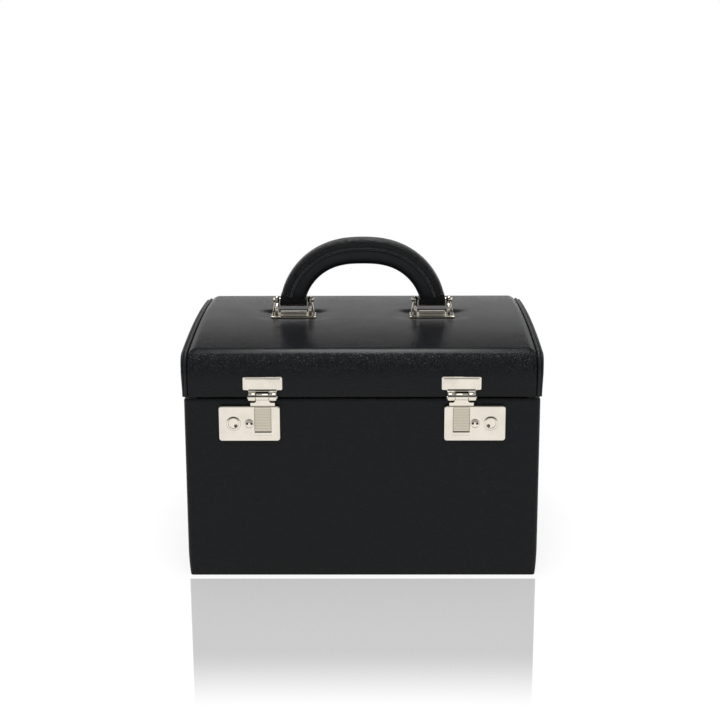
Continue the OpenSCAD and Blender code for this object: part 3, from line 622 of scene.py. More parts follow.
def bead_drift(z):
    """How far the outer bead comes in towards the lid's lower edge."""
    t, u = np.clip((z - LID_Z) / 24, 0, 1), np.clip((z - ROLL_ZC - 4) / 10, 0, 1)
    return 0.8 * (1 - t * t * (3 - 2 * t)) - 0.6 * u


def piping():
    """Two leather beads round each end: the welt of the seam, and the end panel's rolled edge."""
    bead_r = 1.32
    bead = circle(0, 0, bead_r, 14)
    meshes = []
    for x0, drift, inset in ((COVER_X + bead_r + 0.1, 0.3, 1.7), (COVER_X + 3 * bead_r - 0.1, 1.0, 2.9)):
        outline, normals = lid_outline(inset, leg=10, roll=14, crown=30)
        rings = []
        for (y, z), (ny, nz) in zip(outline, normals):
            x = x0 - drift * bead_drift(z)
            rings.append([(x + along, y + ny * out, z + nz * out) for along, out in bead])
        right = mesh_of("bead", *loft(rings))
        meshes += [right, mirrored(right)]
    piece("lid_piping_beads", joined(*meshes), "lid", "piping_leather", "lid_piping")


def end_panels():
    """A softly padded leather panel inside the piping at each end of the lid."""
    steps = [(3.6, -0.5), (3.6, 3.3), (3.9, 3.9), (4.6, 4.4), (5.8, 4.7), (8.0, 4.9), (11.0, 5.0)]
    middle = np.array([0.0, (LID_Z + TOP_Z) / 2])
    flat = []
    for inset, out in steps:
        outline, _ = lid_outline(inset)
        outline[:, 1] = np.maximum(outline[:, 1], LID_Z + max(inset - 3.6, 0) * 0.8)
        flat.append((outline, out))
    flat += [(middle + (flat[-1][0] - middle) * share, 5.05) for share in (0.85, 0.65, 0.4, 0.02)]
    rings = []
    for outline, out in flat:
        drift = bead_drift(outline[:, 1]) * min(max(out, 0) / 4, 1)
        rings.append([(COVER_X + out - d, y, z) for (y, z), d in zip(outline, drift)])
    right = mesh_of("end_panel", *loft(rings))
    panels = piece("lid_end_pads", joined(right, mirrored(right)), "lid", "case_leather", "lid_end_panels")


# ---- Handle

def handle_line(offset=0.0, steps=140):
    """Points along the handle in (X, Z) at an outward offset from its centre line, with normals.
    The line is a soft oval, wide in the shoulders."""
    z = HANDLE_RISE * np.sin(np.linspace(math.asin(FOOT_UP / HANDLE_RISE), math.pi / 2, 300))
    x = HANDLE_SPAN / 2 * np.maximum(1 - (z / HANDLE_RISE) ** FLATNESS, 0) ** (1 / SHOULDER)
    line = np.concatenate([np.stack([-x, z], 1), np.stack([x, z], 1)[-2::-1]])
    run = np.concatenate([[0], np.cumsum(np.hypot(*np.diff(line, axis=0).T))])
    even = np.linspace(0, run[-1], steps + 1)
    line = np.stack([np.interp(even, run, line[:, 0]), np.interp(even, run, line[:, 1])], 1)
    ahead = np.gradient(line, axis=0)
    ahead /= np.linalg.norm(ahead, axis=1)[:, None]
    normals = np.stack([-ahead[:, 1], ahead[:, 0]], 1)
    return line + offset * normals + (0, PIN_Z), normals


def along_handle(section, steps=140, change=None):
    """Rings of a section, given as (outward, sideways), along the handle."""
    line, normals = handle_line(0, steps)
    rings = []
    for i, ((x, z), (nx, nz)) in enumerate(zip(line, normals)):
        shape = change(section, i / steps) if change else section
        rings.append([(x + n * nx, PIN_Y + s, z + n * nz) for n, s in shape])
    return rings


def both_halves(half):
    """A closed section from its half with positive sideways places, outermost point first."""
    return half + [(n, -s) for n, s in reversed(half) if s > 0]


STITCH_ROWS = (6.6, 3.9)
EDGE_BEADS = (3.0, 1.55)
STRAP_HALF = [(11.2, 0), (11.15, 3.5), (11.0, 6.0), (10.6, 7.9), (9.9, 9.0), (9.0, 9.65), (8.0, 9.9),
              (7.2, 9.85), (6.6, 9.5), (6.0, 9.8), (5.3, 9.9), (4.5, 9.75), (3.9, 9.4), (3.4, 9.7),
              (2.9, 10.05), (2.4, 10.1), (2.0, 9.9), (1.75, 9.4), (1.75, 8.6), (2.2, 7.0), (2.2, 0)]
CORE_HALF = [(2.3, 0), (2.3, 8.0), (1.6, 8.5), (1.1, 9.1), (0.6, 9.5), (-0.1, 9.65), (-1.2, 9.6),
             (-3.0, 9.6), (-5.2, 9.45), (-7.0, 9.05), (-8.6, 8.3), (-9.8, 7.1), (-10.6, 5.4), (-11.05, 3.0),
             (-11.2, 0)]


def handle_cores():
    """The padded part under the strap and the strap that is sewn over it."""
    def tucked(section, t):
        foot = min(t, 1 - t) * 250
        pinch = 1 - 0.06 * math.exp(-foot / 3)
        belly = 1 + 0.075 * math.sin(math.pi * t) ** 6
        return [(n * pinch * (belly if n < 0 else 1), s * pinch) for n, s in section]
    points, faces = loft(along_handle(both_halves(CORE_HALF), change=tucked))
    core = piece("handle_padding", mesh_of("handle_padding", points, faces, 60), "handle", "handle_leather",
                 "handle_core")
    points, faces = loft(along_handle(both_halves(STRAP_HALF), 200))
    strap = piece("handle_strap_leather", mesh_of("handle_strap_leather", points, faces, 60), "handle",
                  "case_leather", "handle_strap", material=STRAP_LEATHER)
    bead = [(0.42 * math.cos(a), 0.42 * math.sin(a)) for a in np.linspace(0, 2 * math.pi, 8, endpoint=False)]
    beads = []
    for n in EDGE_BEADS:
        for side in (-1, 1):
            rings = along_handle([(n + u, side * 9.95 + v) for u, v in bead], 160)
            beads.append(mesh_of("bead", *loft(rings)))
    # The beads wear the glossy edge dressing. Its tone, lighter than the leather, is partly a painted
    # highlight.
    piece("handle_edge_beads", joined(*beads), "handle", "handle_leather", material=EDGE_DRESSING_AND_PAINTED_HIGHLIGHT)


def tree_input(tree, name, kind, value=None):
    socket = tree.interface.new_socket(name=name, in_out="INPUT", socket_type=kind)
    if value is not None:
        socket.default_value = value
    return socket.identifier


def stitch_tree():
    """Geometry nodes: along each curve, a stitch at every pitch, turned to the curve."""
    tree = bpy.data.node_groups.new("stitch_row", "GeometryNodeTree")
    ids = {"path": tree_input(tree, "Path", "NodeSocketGeometry")}
    ids["pitch"] = tree_input(tree, "Pitch", "NodeSocketFloat", 0.0037)
    ids["length"] = tree_input(tree, "Stitch length", "NodeSocketFloat", 0.0024)
    ids["radius"] = tree_input(tree, "Thread radius", "NodeSocketFloat", 0.0004)
    ids["thread"] = tree_input(tree, "Thread", "NodeSocketMaterial")
    tree.interface.new_socket(name="Stitches", in_out="OUTPUT", socket_type="NodeSocketGeometry")
    nodes = Nodes(tree)
    start = tree.nodes.new("NodeGroupInput")
    path, pitch, length, radius, thread = (Wire(nodes, s) for s in start.outputs[:5])
    sampled = nodes.add("GeometryNodeResampleCurve", {"mode": "LENGTH"}, Curve=path, Length=pitch)
    made = tree.nodes.new("GeometryNodeCurveToPoints")
    made.mode = "EVALUATED"
    tree.links.new(sampled.socket, made.inputs["Curve"])
    ball = nodes.add("GeometryNodeMeshUVSphere", None, Segments=8, Rings=6, Radius=radius)
    stretch = nodes.add("ShaderNodeCombineXYZ", None, 1.0, 1.0, length / (2 * radius))
    capsule = nodes.add("GeometryNodeTransform", None, Geometry=ball, Scale=stretch)
    dotted = nodes.add("GeometryNodeInstanceOnPoints", None, Points=Wire(nodes, made.outputs["Points"]),
                       Instance=capsule, Rotation=Wire(nodes, made.outputs["Rotation"]))
    real = nodes.add("GeometryNodeRealizeInstances", None, dotted)
    smooth_set = nodes.add("GeometryNodeSetShadeSmooth", None, real)
    done = nodes.add("GeometryNodeSetMaterial", None, smooth_set, Material=thread)
    nodes.add("NodeGroupOutput", None, done)
    return tree, ids


def grown(data, tree, ids, **inputs):
    """The mesh that a geometry node tree makes from a curve or mesh."""
    holder = holder_of(data)
    grow = holder.modifiers.new("grow", "NODES")
    grow.node_group = tree
    for key, value in inputs.items():
        grow[ids[key]] = value
    mesh = evaluated(holder)
    bpy.data.objects.remove(holder)
    return mesh


def poly_curve(name, lines):
    """A curve of straight stretches through points in millimetres."""
    curve = bpy.data.curves.new(name, "CURVE")
    curve.dimensions = "3D"
    for line in lines:
        spline = curve.splines.new("POLY")
        spline.points.add(len(line) - 1)
        for point, place in zip(spline.points, line):
            point.co = (*(MM * float(c) for c in place), 1)
    return curve


def handle_stitches():
    """Two rows of stitches down each side of the strap."""
    tree, ids = stitch_tree()
    lines = []
    for row in STITCH_ROWS:
        points, _ = handle_line(row, 200)
        for side in (-1, 1):
            lines.append([(x, PIN_Y + side * 9.6, z) for x, z in points])
    mesh = grown(poly_curve("stitch_rows", lines), tree, ids, pitch=0.0037, length=0.0024, radius=0.0004,
                 thread=THREAD)
    piece("handle_stitches", mesh, "handle", "handle_leather", material=THREAD)


def foot_height(x):
    """Height of the handle's sloping foot above the pin, at a place across the loop."""
    return FOOT_UP + (x + 0.4) * FOOT_SLOPE


def handle_loops():
    """The strap's end folded round each pin, creased where it is gathered."""
    box_low, box_high = box_mm("handle_loops")
    r = (box_high[1] - box_low[1]) / 2
    half_w = (box_high[0] - box_low[0]) / 2 - HANDLE_SPAN / 2
    rings = []
    for x in np.linspace(-half_w, half_w, 121):
        edge = max(abs(x) - (half_w - 1.2), 0)
        rounded = 1.2 - math.sqrt(1.44 - edge ** 2)
        gather = 0.30 * noise.noise(Vector((x / 1.1, 0.3, 0.7))) + 0.20 * math.sin(2.6 * x + math.sin(x))
        top = min(foot_height(x), 4.7 * (half_w - x) + 0.3)
        full = r - 0.3 - rounded
        sides = [(full + gather * math.cos(a) ** 2, a) for a in np.linspace(-math.pi, 0, 19)]
        ring = [(x, rr * math.cos(a), rr * math.sin(a)) for rr, a in sides]
        waist = full + gather
        ring += [(x, waist, z) for z in (top * 0.5, top)] + [(x, -waist, z) for z in (top, top * 0.5)]
        rings.append(ring)
    right = mesh_of("loop", *loft(rings), sharp=60)
    left = mirrored(right)
    moved(right, (HANDLE_SPAN / 2, PIN_Y, PIN_Z))
    moved(left, (-HANDLE_SPAN / 2, PIN_Y, PIN_Z))
    loops = piece("handle_loop_leather", joined(right, left), "handle", "handle_leather", "handle_loops")


# ---- Handle brackets

def superellipse(half_x, half_y, power):
    """Points of a soft rectangle; a lower power is squarer."""
    angles = np.linspace(0, 2 * math.pi, 28, endpoint=False)
    c, s = np.cos(angles), np.sin(angles)
    return np.stack([half_x * np.sign(c) * np.abs(c) ** power, half_y * np.sign(s) * np.abs(s) ** power], 1)


def extruded_x(front, half_x, z0):
    """A bar along X from the front half of its section as (y, height), mirrored behind; its ends
    are broken."""
    section = list(front) + [(-y, z) for y, z in reversed(front) if y < 0]
    rings = []
    for x, shrink in ((-half_x, 0.3), (-half_x + 0.3, 0), (half_x - 0.3, 0), (half_x, 0.3)):
        rings.append([(x, y - math.copysign(min(shrink, abs(y)), y), z0 + max(z - shrink, 0))
                      for y, z in section])
    return mesh_of("bar", *loft(rings), sharp=30)


def bracket():
    """One cast bracket, drawn round its own middle: base, roll, two flared ears with ball tops."""
    base_t, ear_x, ball_r = 1.8, 15.4, 3.1
    base_z = box_mm("handle_brackets")[0][2]
    top = base_z + base_t
    half_d = BRACKET_D / 2
    low = [(-half_d, 0), (-half_d, 0.8), (-half_d + 0.15, 1.3), (-half_d + 0.5, 1.5), (-6.5, 1.6)]
    base = extruded_x(low, BRACKET_W / 2, base_z)
    roll = [(-6.6, 1.0), (-6.6, 1.9), (-6.4, 2.3), (-6.0, 2.5), (-4.4, 2.6), (-4.2, 3.6), (-3.9, 4.1),
            (-3.4, 4.3), (0, 4.4)]
    saddle = extruded_x(roll, ear_x - 3.6, base_z)
    meshes = [base, saddle]
    drop = PIN_Z - top + 0.8
    for side in (-1, 1):
        posts = []
        for below in (drop, 9.5, 6.9, 6.2, 4.4, 2.6, 2.0, 0.0):
            flare = below / drop
            deep = 1.8 + 5.3 * min(max((below - 2.0) / 4.4, 0), 1)
            section = superellipse(1.7 + 0.4 * flare ** 3, deep, 0.45)
            post_x = side * (ear_x - 0.35 - 0.3 * flare ** 3)
            posts.append([(post_x + x, y, PIN_Z - below) for x, y in section])
        webs = []
        for t in np.linspace(0, 1, 16):
            flare = (1 - t) ** 2.5
            section = superellipse(0.75, 2.2 + 4.6 * (1 - t) ** 1.1 + 1.0 * flare, 0.6)
            lean = 0.6 + 1.2 * math.sin(math.pi * min(t + 0.12, 1)) + 1.9 * flare
            webs.append([(side * (ear_x + lean) + x, y, PIN_Z - drop * (1 - t)) for x, y in section])
        meshes += [mesh_of("post", *loft(posts), sharp=60), mesh_of("web", *loft(webs), sharp=60)]
        ball = mesh_of("ball", *lathe([(ball_r * math.sin(a), -ball_r * math.cos(a))
                                       for a in np.linspace(0.02, math.pi - 0.02, 24)], 36))
        meshes.append(moved(ball, (side * ear_x, 0, PIN_Z)))
    return moved(joined(*meshes), (0, PIN_Y, 0))


def handle_brackets():
    right = bracket()
    left = mirrored(right)
    moved(right, (HANDLE_SPAN / 2, 0, 0))
    moved(left, (-HANDLE_SPAN / 2, 0, 0))
    piece("handle_bracket_castings", joined(right, left), "lid", "nickel", "handle_brackets",
          material=CAST_NICKEL)


# ---- Locks, drawn for the right side and mirrored

def facing_front(mesh, y, x=0.0, z=0.0):
    """A plate drawn in XY, stood up so that it faces the front with its middle at y."""
    return moved(mesh, (x, y, z), FACING_FRONT)


def turned_front(profile, x, y, z, steps=40):
    """A turned shape whose axis points to the front; the profile's heights stand out from y."""
    return moved(mesh_of("turned", *lathe(profile, steps)), (x, y, z), FACING_FRONT)


def pair(name, mesh, body, finish, *nodes):
    """The right-hand mesh and its mirror image as one piece."""
    return piece(name, joined(mirrored(mesh), mesh), body, finish, *nodes)


def hands(name, mesh, body, finish, node=None):
    """The right-hand mesh and its mirror image as two pieces, on bodies of their own."""
    for side, shape in (("left", mirrored(mesh)), ("right", mesh)):
        piece(f"{name}_{side}", shape, f"{body}_{side}", finish, *([f"{node}_{side}"] if node else []))


CASE_W = CASE_HIGH[0] - (LOCK_X - 14.25)
CASE_X = LOCK_X - 14.25 + CASE_W / 2
CASE_Z = (CASE_LOW[2] + CASE_HIGH[2]) / 2
CASE_H = CASE_HIGH[2] - CASE_LOW[2]
FACE_Y = CASE_LOW[1]
KEY_X = (PLUG_LOW[0] + PLUG_HIGH[0]) / 2
KEY_Z = (PLUG_LOW[2] + PLUG_HIGH[2]) / 2
SPANNER_X = LOCK_X + 11.35


def pierced(rings, holes):
    """A plate facing the front: rings of its outline as (points in XZ, y), from its back to its
    face, and holes through it, as outlines in XZ, with broken edges."""
    chamfer = 0.15
    face_y, back_y = rings[-1][1], rings[0][1]
    points, faces = loft([[(x, y, z) for x, z in outline] for outline, y in rings], caps=None)
    points = [tuple(p) for p in points]
    n = len(rings[0][0])
    fronts, backs = [list(range(len(points) - n, len(points)))], [list(range(n))]
    for hole in holes:
        hole = np.asarray(hole, float)
        middle = (hole.min(0) + hole.max(0)) / 2
        wider = middle + (hole - middle) * (1 + 2 * chamfer / np.ptp(hole, axis=0))
        start, k = len(points), len(hole)
        for outline, y in ((wider, face_y), (hole, face_y + chamfer), (hole, back_y)):
            points += [(x, y, z) for x, z in outline]
        for step in (0, k):
            faces += [(start + step + i, start + step + (i + 1) % k, start + step + k + (i + 1) % k,
                       start + step + k + i) for i in range(k)]
        fronts.append(list(range(start, start + k)))
        backs.append(list(range(start + 2 * k, start + 3 * k)))
    for loops in (fronts, backs):
        flat = [i for indices in loops for i in indices]
        fill = tessellate_polygon([[Vector((points[i][0], points[i][2], 0)) for i in loop] for loop in loops])
        faces += [tuple(flat[i] for i in triangle) for triangle in fill]
    return mesh_of("pierced", points, faces, 30)


def lock_cases():
    """The lock's nickel case with the slide's slot, the collar's hole and the screw's hole."""
    slot_half, slot_low = 6.95, CASE_HIGH[2] - 25.0
    edge = [(0.0, CASE_HIGH[1] - FACE_Y), (0.0, 0.8), (0.06, 0.5), (0.23, 0.23), (0.5, 0.06), (0.8, 0.0)]
    rings = [(rounded_rect(CASE_W - 2 * inset, CASE_H - 2 * inset, 2.5 - inset, CASE_X, CASE_Z),
              FACE_Y + back) for inset, back in edge]
    slot = [(LOCK_X - slot_half, slot_low), (LOCK_X + slot_half, slot_low),
            (LOCK_X + slot_half, CASE_HIGH[2] - 1.3), (LOCK_X - slot_half, CASE_HIGH[2] - 1.3)]
    collar_hole, screw_hole = circle(KEY_X, KEY_Z, 6.0, 40), circle(SPANNER_X, KEY_Z, 3.75)
    face = pierced(rings, [slot, collar_hole, screw_hole])
    pair("lock_case_shells", face, "case", "nickel", "lock_cases")


def lock_collars():
    profile = [(4.25, -2.6), (5.95, -2.6), (5.95, -0.1), (5.85, 0.02), (5.7, 0.07), (4.75, 0.37), (4.6, 0.4),
               (4.4, 0.38), (4.25, 0.2)]
    points, faces = lathe(profile)
    n = 40
    last = (len(profile) - 1) * n
    faces = faces[:-2] + [(last + k, last + (k + 1) % n, (k + 1) % n, k) for k in range(n)]
    collar = moved(mesh_of("collar", points, faces), (KEY_X, FACE_Y, KEY_Z), FACING_FRONT)
    pair("lock_collar_rings", collar, "case", "nickel", "lock_collars")


def key_plugs():
    """A flat plug with a barrel key's round hole and its pin, low on the side of the slide."""
    hole_x, hole_z, hole_r = -1.9, -2.1, 1.4
    face = plate([circle(0, 0, 4.15, 40), circle(hole_x, hole_z, hole_r, 24)], 1.4, 0.12)
    face = facing_front(face, FACE_Y + 0.9, KEY_X, KEY_Z)
    pin = turned_front([(0.01, -4.4), (0.5, -4.4), (0.5, -0.9), (0.35, -0.7), (0.01, -0.6)], KEY_X + hole_x,
                       FACE_Y + 1.0, KEY_Z + hole_z, 16)
    back = turned_front([(0.01, -0.5), (4.0, -0.5), (4.0, 0), (0.01, 0)], KEY_X, FACE_Y + 5.5, KEY_Z)
    hands("key_plug_face", joined(face, pin, back), "key", "nickel", "key_plug")


def spanner_screws():
    """A dished screw head with two round holes for a spanner."""
    holes = [circle(s * 1.85, 0, 1.0, 16) for s in (-1, 1)]
    head = plate([circle(0, 0, 3.65, 40), *holes], 0.9, 0.2)
    for vertex in head.vertices:
        if vertex.co.z > 0:
            vertex.co.z += MM * (0.3 - 0.5 * (vertex.co.xy.length / (3.7 * MM)) ** 2)
    head = facing_front(head, FACE_Y + 0.4, SPANNER_X, KEY_Z)
    floor = turned_front([(0.01, -0.3), (3.6, -0.3), (3.6, 0), (0.01, 0)], SPANNER_X, FACE_Y + 3.4, KEY_Z)
    pair("spanner_screw_heads", joined(head, floor), "case", "nickel", "spanner_screws")


def thumb_slides():
    """A satin slide with fine ribs across it and a tail that closes the slot below."""
    half_w, face_y = 6.8, SLIDE_LOW[1]
    low, high = SLIDE_HIGH[2] - 20.9, SLIDE_HIGH[2]
    pitch, depth = 1.35, 0.34
    profile = [(low, 0.25), (low + 0.25, 0.0)]
    for z in np.arange(low + 1.2, high - 1.4, pitch):
        profile += [(z, 0.0), (z + 0.12 * pitch, depth), (z + 0.40 * pitch, depth), (z + 0.52 * pitch, 0.0)]
    profile += [(high - 0.25, 0.0), (high, 0.25)]
    back = 1.4
    rings = []
    for x, inset in ((-half_w, 0.3), (-half_w + 0.3, 0.0), (half_w - 0.3, 0.0), (half_w, 0.3)):
        ring = [(LOCK_X + x, face_y + y + inset, z) for z, y in profile]
        ring += [(LOCK_X + x, face_y + back, z) for z, y in reversed(profile)]
        rings.append(ring)
    face = mesh_of("slide", *loft(rings, caps="strip"), sharp=30)
    tail_low, tail_high = SLIDE_LOW[2], low - 1.1
    tail = rounded_rect(2 * half_w + 1.2, tail_high - tail_low, 0.3, LOCK_X, (tail_low + tail_high) / 2)
    hands("thumb_slide_face", face, "slide", "slide_nickel", "thumb_slide")
    hands("thumb_slide_tail", facing_front(plate([tail], 0.3, 0.05), FACE_Y + 0.3), "slide", "nickel")


# ---- Hasps and the plates on the lid

HASP_Y, HASP_Z = -126.2, LID_Z + 1.0
KNUCKLE_Z = HASP_Z + 0.6


def cylinder_x(x0, x1, y, z, r):
    """A bar along X with rounded ends."""
    half, rim = (x1 - x0) / 2, 0.35
    start = [(0.01, -half), (r - rim, -half), (r - 0.3 * rim, -half + 0.3 * rim), (r, -half + rim)]
    profile = start + [(across, -along) for across, along in reversed(start)]
    return moved(mesh_of("bar", *lathe(profile, 32)), ((x0 + x1) / 2, y, z), ALONG_X)


def cove(x0, x1, face_y, cut):
    """The plate's foot curling out to its knuckles between two places along X; cut leaves out
    as many steps of the curl's lower end."""
    rise = 2.8
    curl = arc(face_y - rise, HASP_Z + 3.9 + rise, rise, 0, -math.pi / 2, 12)[:13 - cut, :2]
    foot = curl[-1]
    section = [tuple(p) for p in curl] + [(foot[0], foot[1] - 0.45), (face_y + 0.3, foot[1] - 0.45),
                                          (face_y + 0.3, curl[0][1])]
    return mesh_of("cove", *loft([[(x, y, z) for y, z in section] for x in (x0, x1)]), sharp=30)


def catch_plates():
    """T-shaped plates, each with two knuckles at its foot."""
    w, h, low_w, t = 32.9, 11.3, 23.4, 1.4
    mid_z = HASP_Z + 3.9 + 1.6
    low_z = LID_Z + 0.6
    window, window_z = 5.7, HASP_Z + 4.4
    r = 1.2
    left, right = LOCK_X - low_w / 2, LOCK_X + low_w / 2
    inner_left, inner_right = LOCK_X - window, LOCK_X + window
    top = rounded_rect(w, h, r, LOCK_X, mid_z + h / 2)
    k = len(top) // 4
    left_foot = [(left - 0.8, mid_z), (left, mid_z - 0.8), (left, low_z), (inner_left, low_z),
                 (inner_left, window_z)]
    right_foot = [(2 * LOCK_X - x, z) for x, z in reversed(left_foot)]
    outline = list(top[:3 * k]) + left_foot + right_foot + list(top[3 * k:])
    y = FRONT_Y - 0.1 - (t - 0.1) / 2
    flat = facing_front(plate([outline], t - 0.1, 0.45), y)
    sides = ((left, inner_left), (inner_right, right))
    knuckles = [cylinder_x(a, b, HASP_Y, KNUCKLE_Z, 3.5) for a, b in sides]
    face_y, margin = FRONT_Y - t, 1.9
    lip_z, panel_low = mid_z + h - 1.1, mid_z + h - 8.1
    lip = [(face_y + 0.1, lip_z), (face_y - 0.01, lip_z), (face_y - 0.22, lip_z - 0.8),
           (face_y - 0.01, panel_low), (face_y + 0.1, panel_low)]
    ends = (LOCK_X - w / 2 + margin, LOCK_X + w / 2 - margin)
    panel = mesh_of("panel", *loft([[(x, y, z) for y, z in lip] for x in ends]), 10)
    coves = [cove(a, b, face_y, 0) for a, b in sides] + [cove(inner_left, inner_right, face_y, 7)]
    pair("catch_plate_faces", joined(flat, panel, *coves, *knuckles), "lid", "nickel",
         "catch_plates")


def hasps():
    """The hasp's knuckle, neck and shoulders."""
    neck, shoulder, flare, t = 5.4, 10.15, 2.0, 1.0
    low = CASE_HIGH[2] + 0.05
    top = KNUCKLE_Z - 3.5 - 0.9
    right = [(shoulder, low), (shoulder, top - flare / 2)]
    hollow = arc(neck + flare, top + flare / 2, flare, math.radians(270), math.radians(180), 8)[:, :2]
    right += [tuple(p) for p in hollow] + [(neck, HASP_Z)]
    outline = [(LOCK_X + x, z) for x, z in right] + [(LOCK_X - x, z) for x, z in reversed(right)]
    flat = facing_front(plate([outline], t, 0.15), HASP_Y + 2.1 - t / 2)
    knuckle = cylinder_x(LOCK_X - neck, LOCK_X + neck, HASP_Y, KNUCKLE_Z, 3.0)
    hands("hasp_face", joined(flat, knuckle), "hasp", "nickel", "hasp")


# ---- What keeps its CAD shape, with rounded edges

# Each node's piece, its body, the width of its rounded edges, its finish and, on padded ones,
# how full it is.
SOFT_EDGES = {
    "base_leather": ("base_hide", "case", 0.5, "base_leather", 0),
    "liner_panels": ("liner_pads", "case", 0.9, "suede", 0.6),
    "base_dividers": ("base_divider_pads", "case", 0.9, "suede", 0.6),
    "tray_ledges": ("tray_ledge_pads", "case", 0.8, "suede", 0.6),
    "lid_lining": ("lid_lining_suede", "lid", 0.3, "suede", 0),
    "mirror_bed": ("mirror_bed_suede", "lid", 0.4, "suede", 0.5),
    "mirror_frame": ("mirror_frame_suede", "lid", 0.4, "suede", 0),
    "tray_floor": ("tray_floor_suede", "tray", 0.5, "suede", 0),
    "tray_walls": ("tray_wall_pads", "tray", 1.0, "suede", 0.6),
    "tray_dividers": ("tray_divider_pads", "tray", 0.9, "suede", 0.6),
    "ring_rolls": ("ring_roll_pads", "tray", 1.2, "suede", 0.9),
    "tray_tabs": ("tray_tab_leather", "tray", 0.4, "handle_leather", 0),
    "body_hinge_leaves": ("body_hinge_plates", "case", 0.25, "nickel", 0),
    "lid_hinge_leaves": ("lid_hinge_plates", "lid", 0.25, "nickel", 0),
    "hasp_pins": ("hasp_pin_ends", "lid", 0.2, "nickel", 0),
    "hinge_pins": ("hinge_pin_ends", "case", 0.2, "nickel", 0),
}


def rounded_pieces():
    for node, (name, body, width, finish, fill) in SOFT_EDGES.items():
        shown = piece(name, softened(node, width), body, finish, node)


def swollen(mesh, cap):
    """The mesh remeshed and blown up by a cloth simulation. No point moves further than cap, in
    millimetres, and the result is then held inside the box that the mesh started in. So a mesh
    thinner than the swelling ends flat above and below, and only its sides show the pull."""
    frames = 20
    low, high = (np.array([f(v.co[i] for v in mesh.vertices) for i in range(3)]) for f in (min, max))
    holder = holder_of(mesh)
    grid = holder.modifiers.new("grid", "REMESH")
    grid.mode, grid.voxel_size = "VOXEL", 0.005
    start = evaluated(holder)
    holder.modifiers.clear()
    holder.data = start
    rest = np.array([v.co[:] for v in start.vertices])
    pad = holder.modifiers.new("pad", "CLOTH")
    pad.settings.effector_weights.gravity = 0
    pad.settings.use_pressure = True
    pad.settings.uniform_pressure_force = 4
    pad.point_cache.frame_end = frames
    for step in range(1, frames + 1):
        bpy.context.scene.frame_set(step)
    blown = holder.evaluated_get(bpy.context.evaluated_depsgraph_get()).data
    now = np.array([v.co[:] for v in blown.vertices])
    push = now - rest
    far = np.linalg.norm(push, axis=1)[:, None]
    rest = rest + push * np.minimum(1, cap * MM / np.maximum(far, 1e-9))
    bpy.context.scene.frame_set(1)
    holder.modifiers.clear()
    for vertex, place in zip(start.vertices, np.clip(rest, low, high)):
        vertex.co = place
    finer = holder.modifiers.new("finer", "SUBSURF")
    finer.levels = finer.render_levels = 1
    result = evaluated(holder)
    bpy.data.objects.remove(holder)
    smooth(result, 80)
    return result


def floor_pad():
    """The padded floor of the case, flat on top. The remesh and the pull of the cloth leave it
    7 to 9 mm inside the outline of its CAD node."""
    low, high = box_mm("floor_pad")
    middle, size = (low + high) / 2, high - low
    steps = [(3.5, 0), (1.2, 0.3), (0.9, 0.45 * size[2]), (1.6, 0.72 * size[2]), (5, 0.8 * size[2])]
    rings = []
    for inset, up in steps:
        outline = rounded_rect(size[0] - 2 * inset, size[1] - 2 * inset, 5, middle[0], middle[1])
        rings.append([(x, y, low[2] + up) for x, y in outline])
    mesh = mesh_of("floor_pad", *loft(rings))
    pad = piece("floor_pad_suede", swollen(mesh, 5), "case", "suede", "floor_pad")


def dress_frame():
    """Gives every CAD node that still shows the finish of its slot."""
    slots = {s["node"]: s["material_slot"] for s in frame["record"]["subparts"]}
    for name, node in frame["nodes"].items():
        for slot in node.material_slots:
            slot.material = FINISHES[slots[name]]


# ---- Floor and light

def add_floor():
    """A white floor, polished in front of the case, where it mirrors it less and less."""
    look = Finish("floor")
    across, deep, _ = look.parts(look.place)
    ahead = -1.0 * deep - 0.119
    width = look.add("ShaderNodeMath", {"operation": "ABSOLUTE"}, across - 0.0076 * ahead) + 0.118 * ahead
    polish = ahead.smooth(0.268, 0.150) * ahead.smooth(0.009, 0.011) * width.smooth(0.1482, 0.1474)
    away = look.add("ShaderNodeVectorMath", {"operation": "LENGTH"}, look.place, out="Value")
    far = away.smooth(0.22, 0.55)
    graze = look.add("ShaderNodeLayerWeight", out="Facing").smooth(0.3, 0.5)
    shown, in_gloss, through = (look.add("ShaderNodeLightPath", out=f"Is {kind} Ray")
                                for kind in ("Camera", "Glossy", "Transmission"))
    paint = look.add("ShaderNodeBsdfDiffuse", None, Color=(0.85, 0.85, 0.85, 1))
    white = look.add("ShaderNodeEmission", None, Color=(1, 1, 1, 1), Strength=1.0)
    lit = look.add("ShaderNodeMixShader", None, (0.82 + 0.18 * far) * shown + in_gloss + through,
                   paint, white)
    gloss = look.add("ShaderNodeBsdfGlossy", None, Color=(1, 1, 1, 1), Roughness=0.02)
    floor_look = look.add("ShaderNodeMixShader", None, 0.43 * polish * graze * shown, lit, gloss)
    look.add("ShaderNodeOutputMaterial", None, floor_look)
    half = 3000
    mesh = mesh_of("floor", [(-half, -half, 0), (half, -half, 0), (half, half, 0), (-half, half, 0)],
                   [(0, 1, 2, 3)])
    mesh.materials.append(look.material)
    floor = bpy.data.objects.new("floor", mesh)
    bpy.context.scene.collection.objects.link(floor)


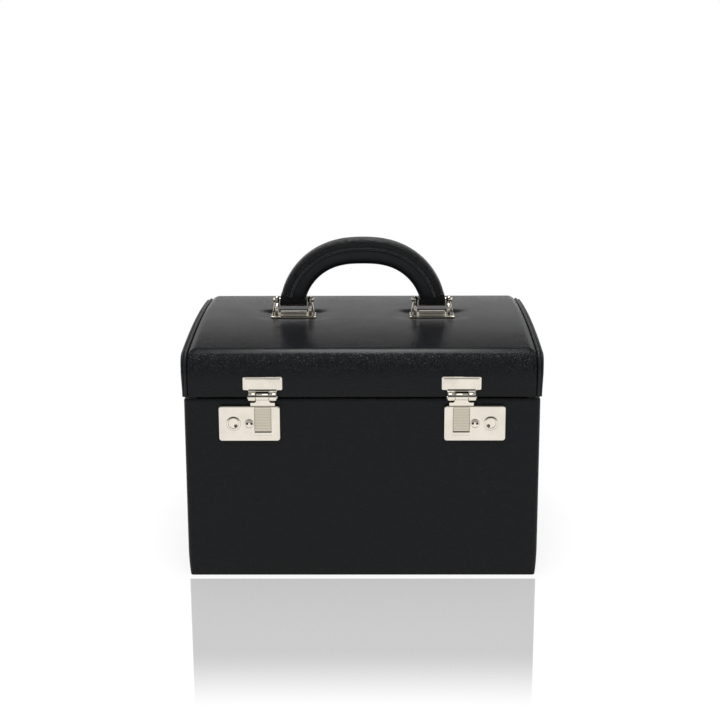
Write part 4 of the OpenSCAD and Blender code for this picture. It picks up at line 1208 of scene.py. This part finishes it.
def add_light(name, place, aim, size, power, mirrored_too=True):
    data = bpy.data.lights.new(name, "AREA")
    data.shape = "RECTANGLE"
    data.size, data.size_y = size
    data.energy = power
    light = bpy.data.objects.new(name, data)
    light.location = place
    light.rotation_euler = (Vector(aim) - Vector(place)).to_track_quat("-Z", "Y").to_euler()
    light.visible_glossy = mirrored_too
    bpy.context.scene.collection.objects.link(light)


def add_room():
    """White low all round and behind, dark in front, as in a studio seen from a dark doorway."""
    world = bpy.data.worlds.new("room")
    world.use_nodes = True
    bpy.context.scene.world = world
    nodes = Nodes(world.node_tree)
    nodes.tree.nodes.clear()
    direction = nodes.add("ShaderNodeTexCoord", out="Generated")
    _, depth, height = nodes.parts(direction)
    behind = depth.smooth(-0.35, 0.25)
    wall = height.smooth(0.335, 0.295) * (0.27 + 1.9 * height)
    doorway = 0.04 + 0.3 * height.smooth(0.25, 0.12)
    overhead = 0.4 * height.smooth(0.62, 0.8)
    floor = height.smooth(0.0, -0.03)
    room = behind * (0.04 + 0.96 * wall) + (1 - behind) * doorway + overhead
    room = room + floor * (1 - room)
    shown = nodes.add("ShaderNodeLightPath", out="Is Camera Ray")
    surface = nodes.add("ShaderNodeBackground", None, (1, 1, 1, 1), room + shown * (1 - room))
    nodes.add("ShaderNodeOutputWorld", None, surface)


def add_lights():
    add_light("softbox", (0, 0.42, 1.45), (0, -0.1, 0.19), (0.36, 1.15), 8.4)
    add_light("front_fill", (0, -1.3, 1.6), (0, 0, 0.1), (1.6, 1.6), 30, mirrored_too=False)
    add_light("top_fill", (0, 0.1, 1.9), (0, 0, 0), (1.6, 1.6), 18, mirrored_too=False)
    add_light("left_fill", (-1.8, -0.2, 0.9), (0, 0, 0.1), (1.0, 1.0), 6)
    add_light("right_fill", (1.8, -0.2, 0.9), (0, 0, 0.1), (1.0, 1.0), 6)


bpy.context.scene.view_settings.view_transform = "Standard"
add_camera()
dress_frame()
body_cover()
lid_cover()
lid_board()
piping()
end_panels()
handle_cores()
handle_stitches()
handle_loops()
handle_brackets()
lock_cases()
lock_collars()
key_plugs()
spanner_screws()
thumb_slides()
catch_plates()
hasps()
rounded_pieces()
floor_pad()
add_floor()
add_room()
add_lights()
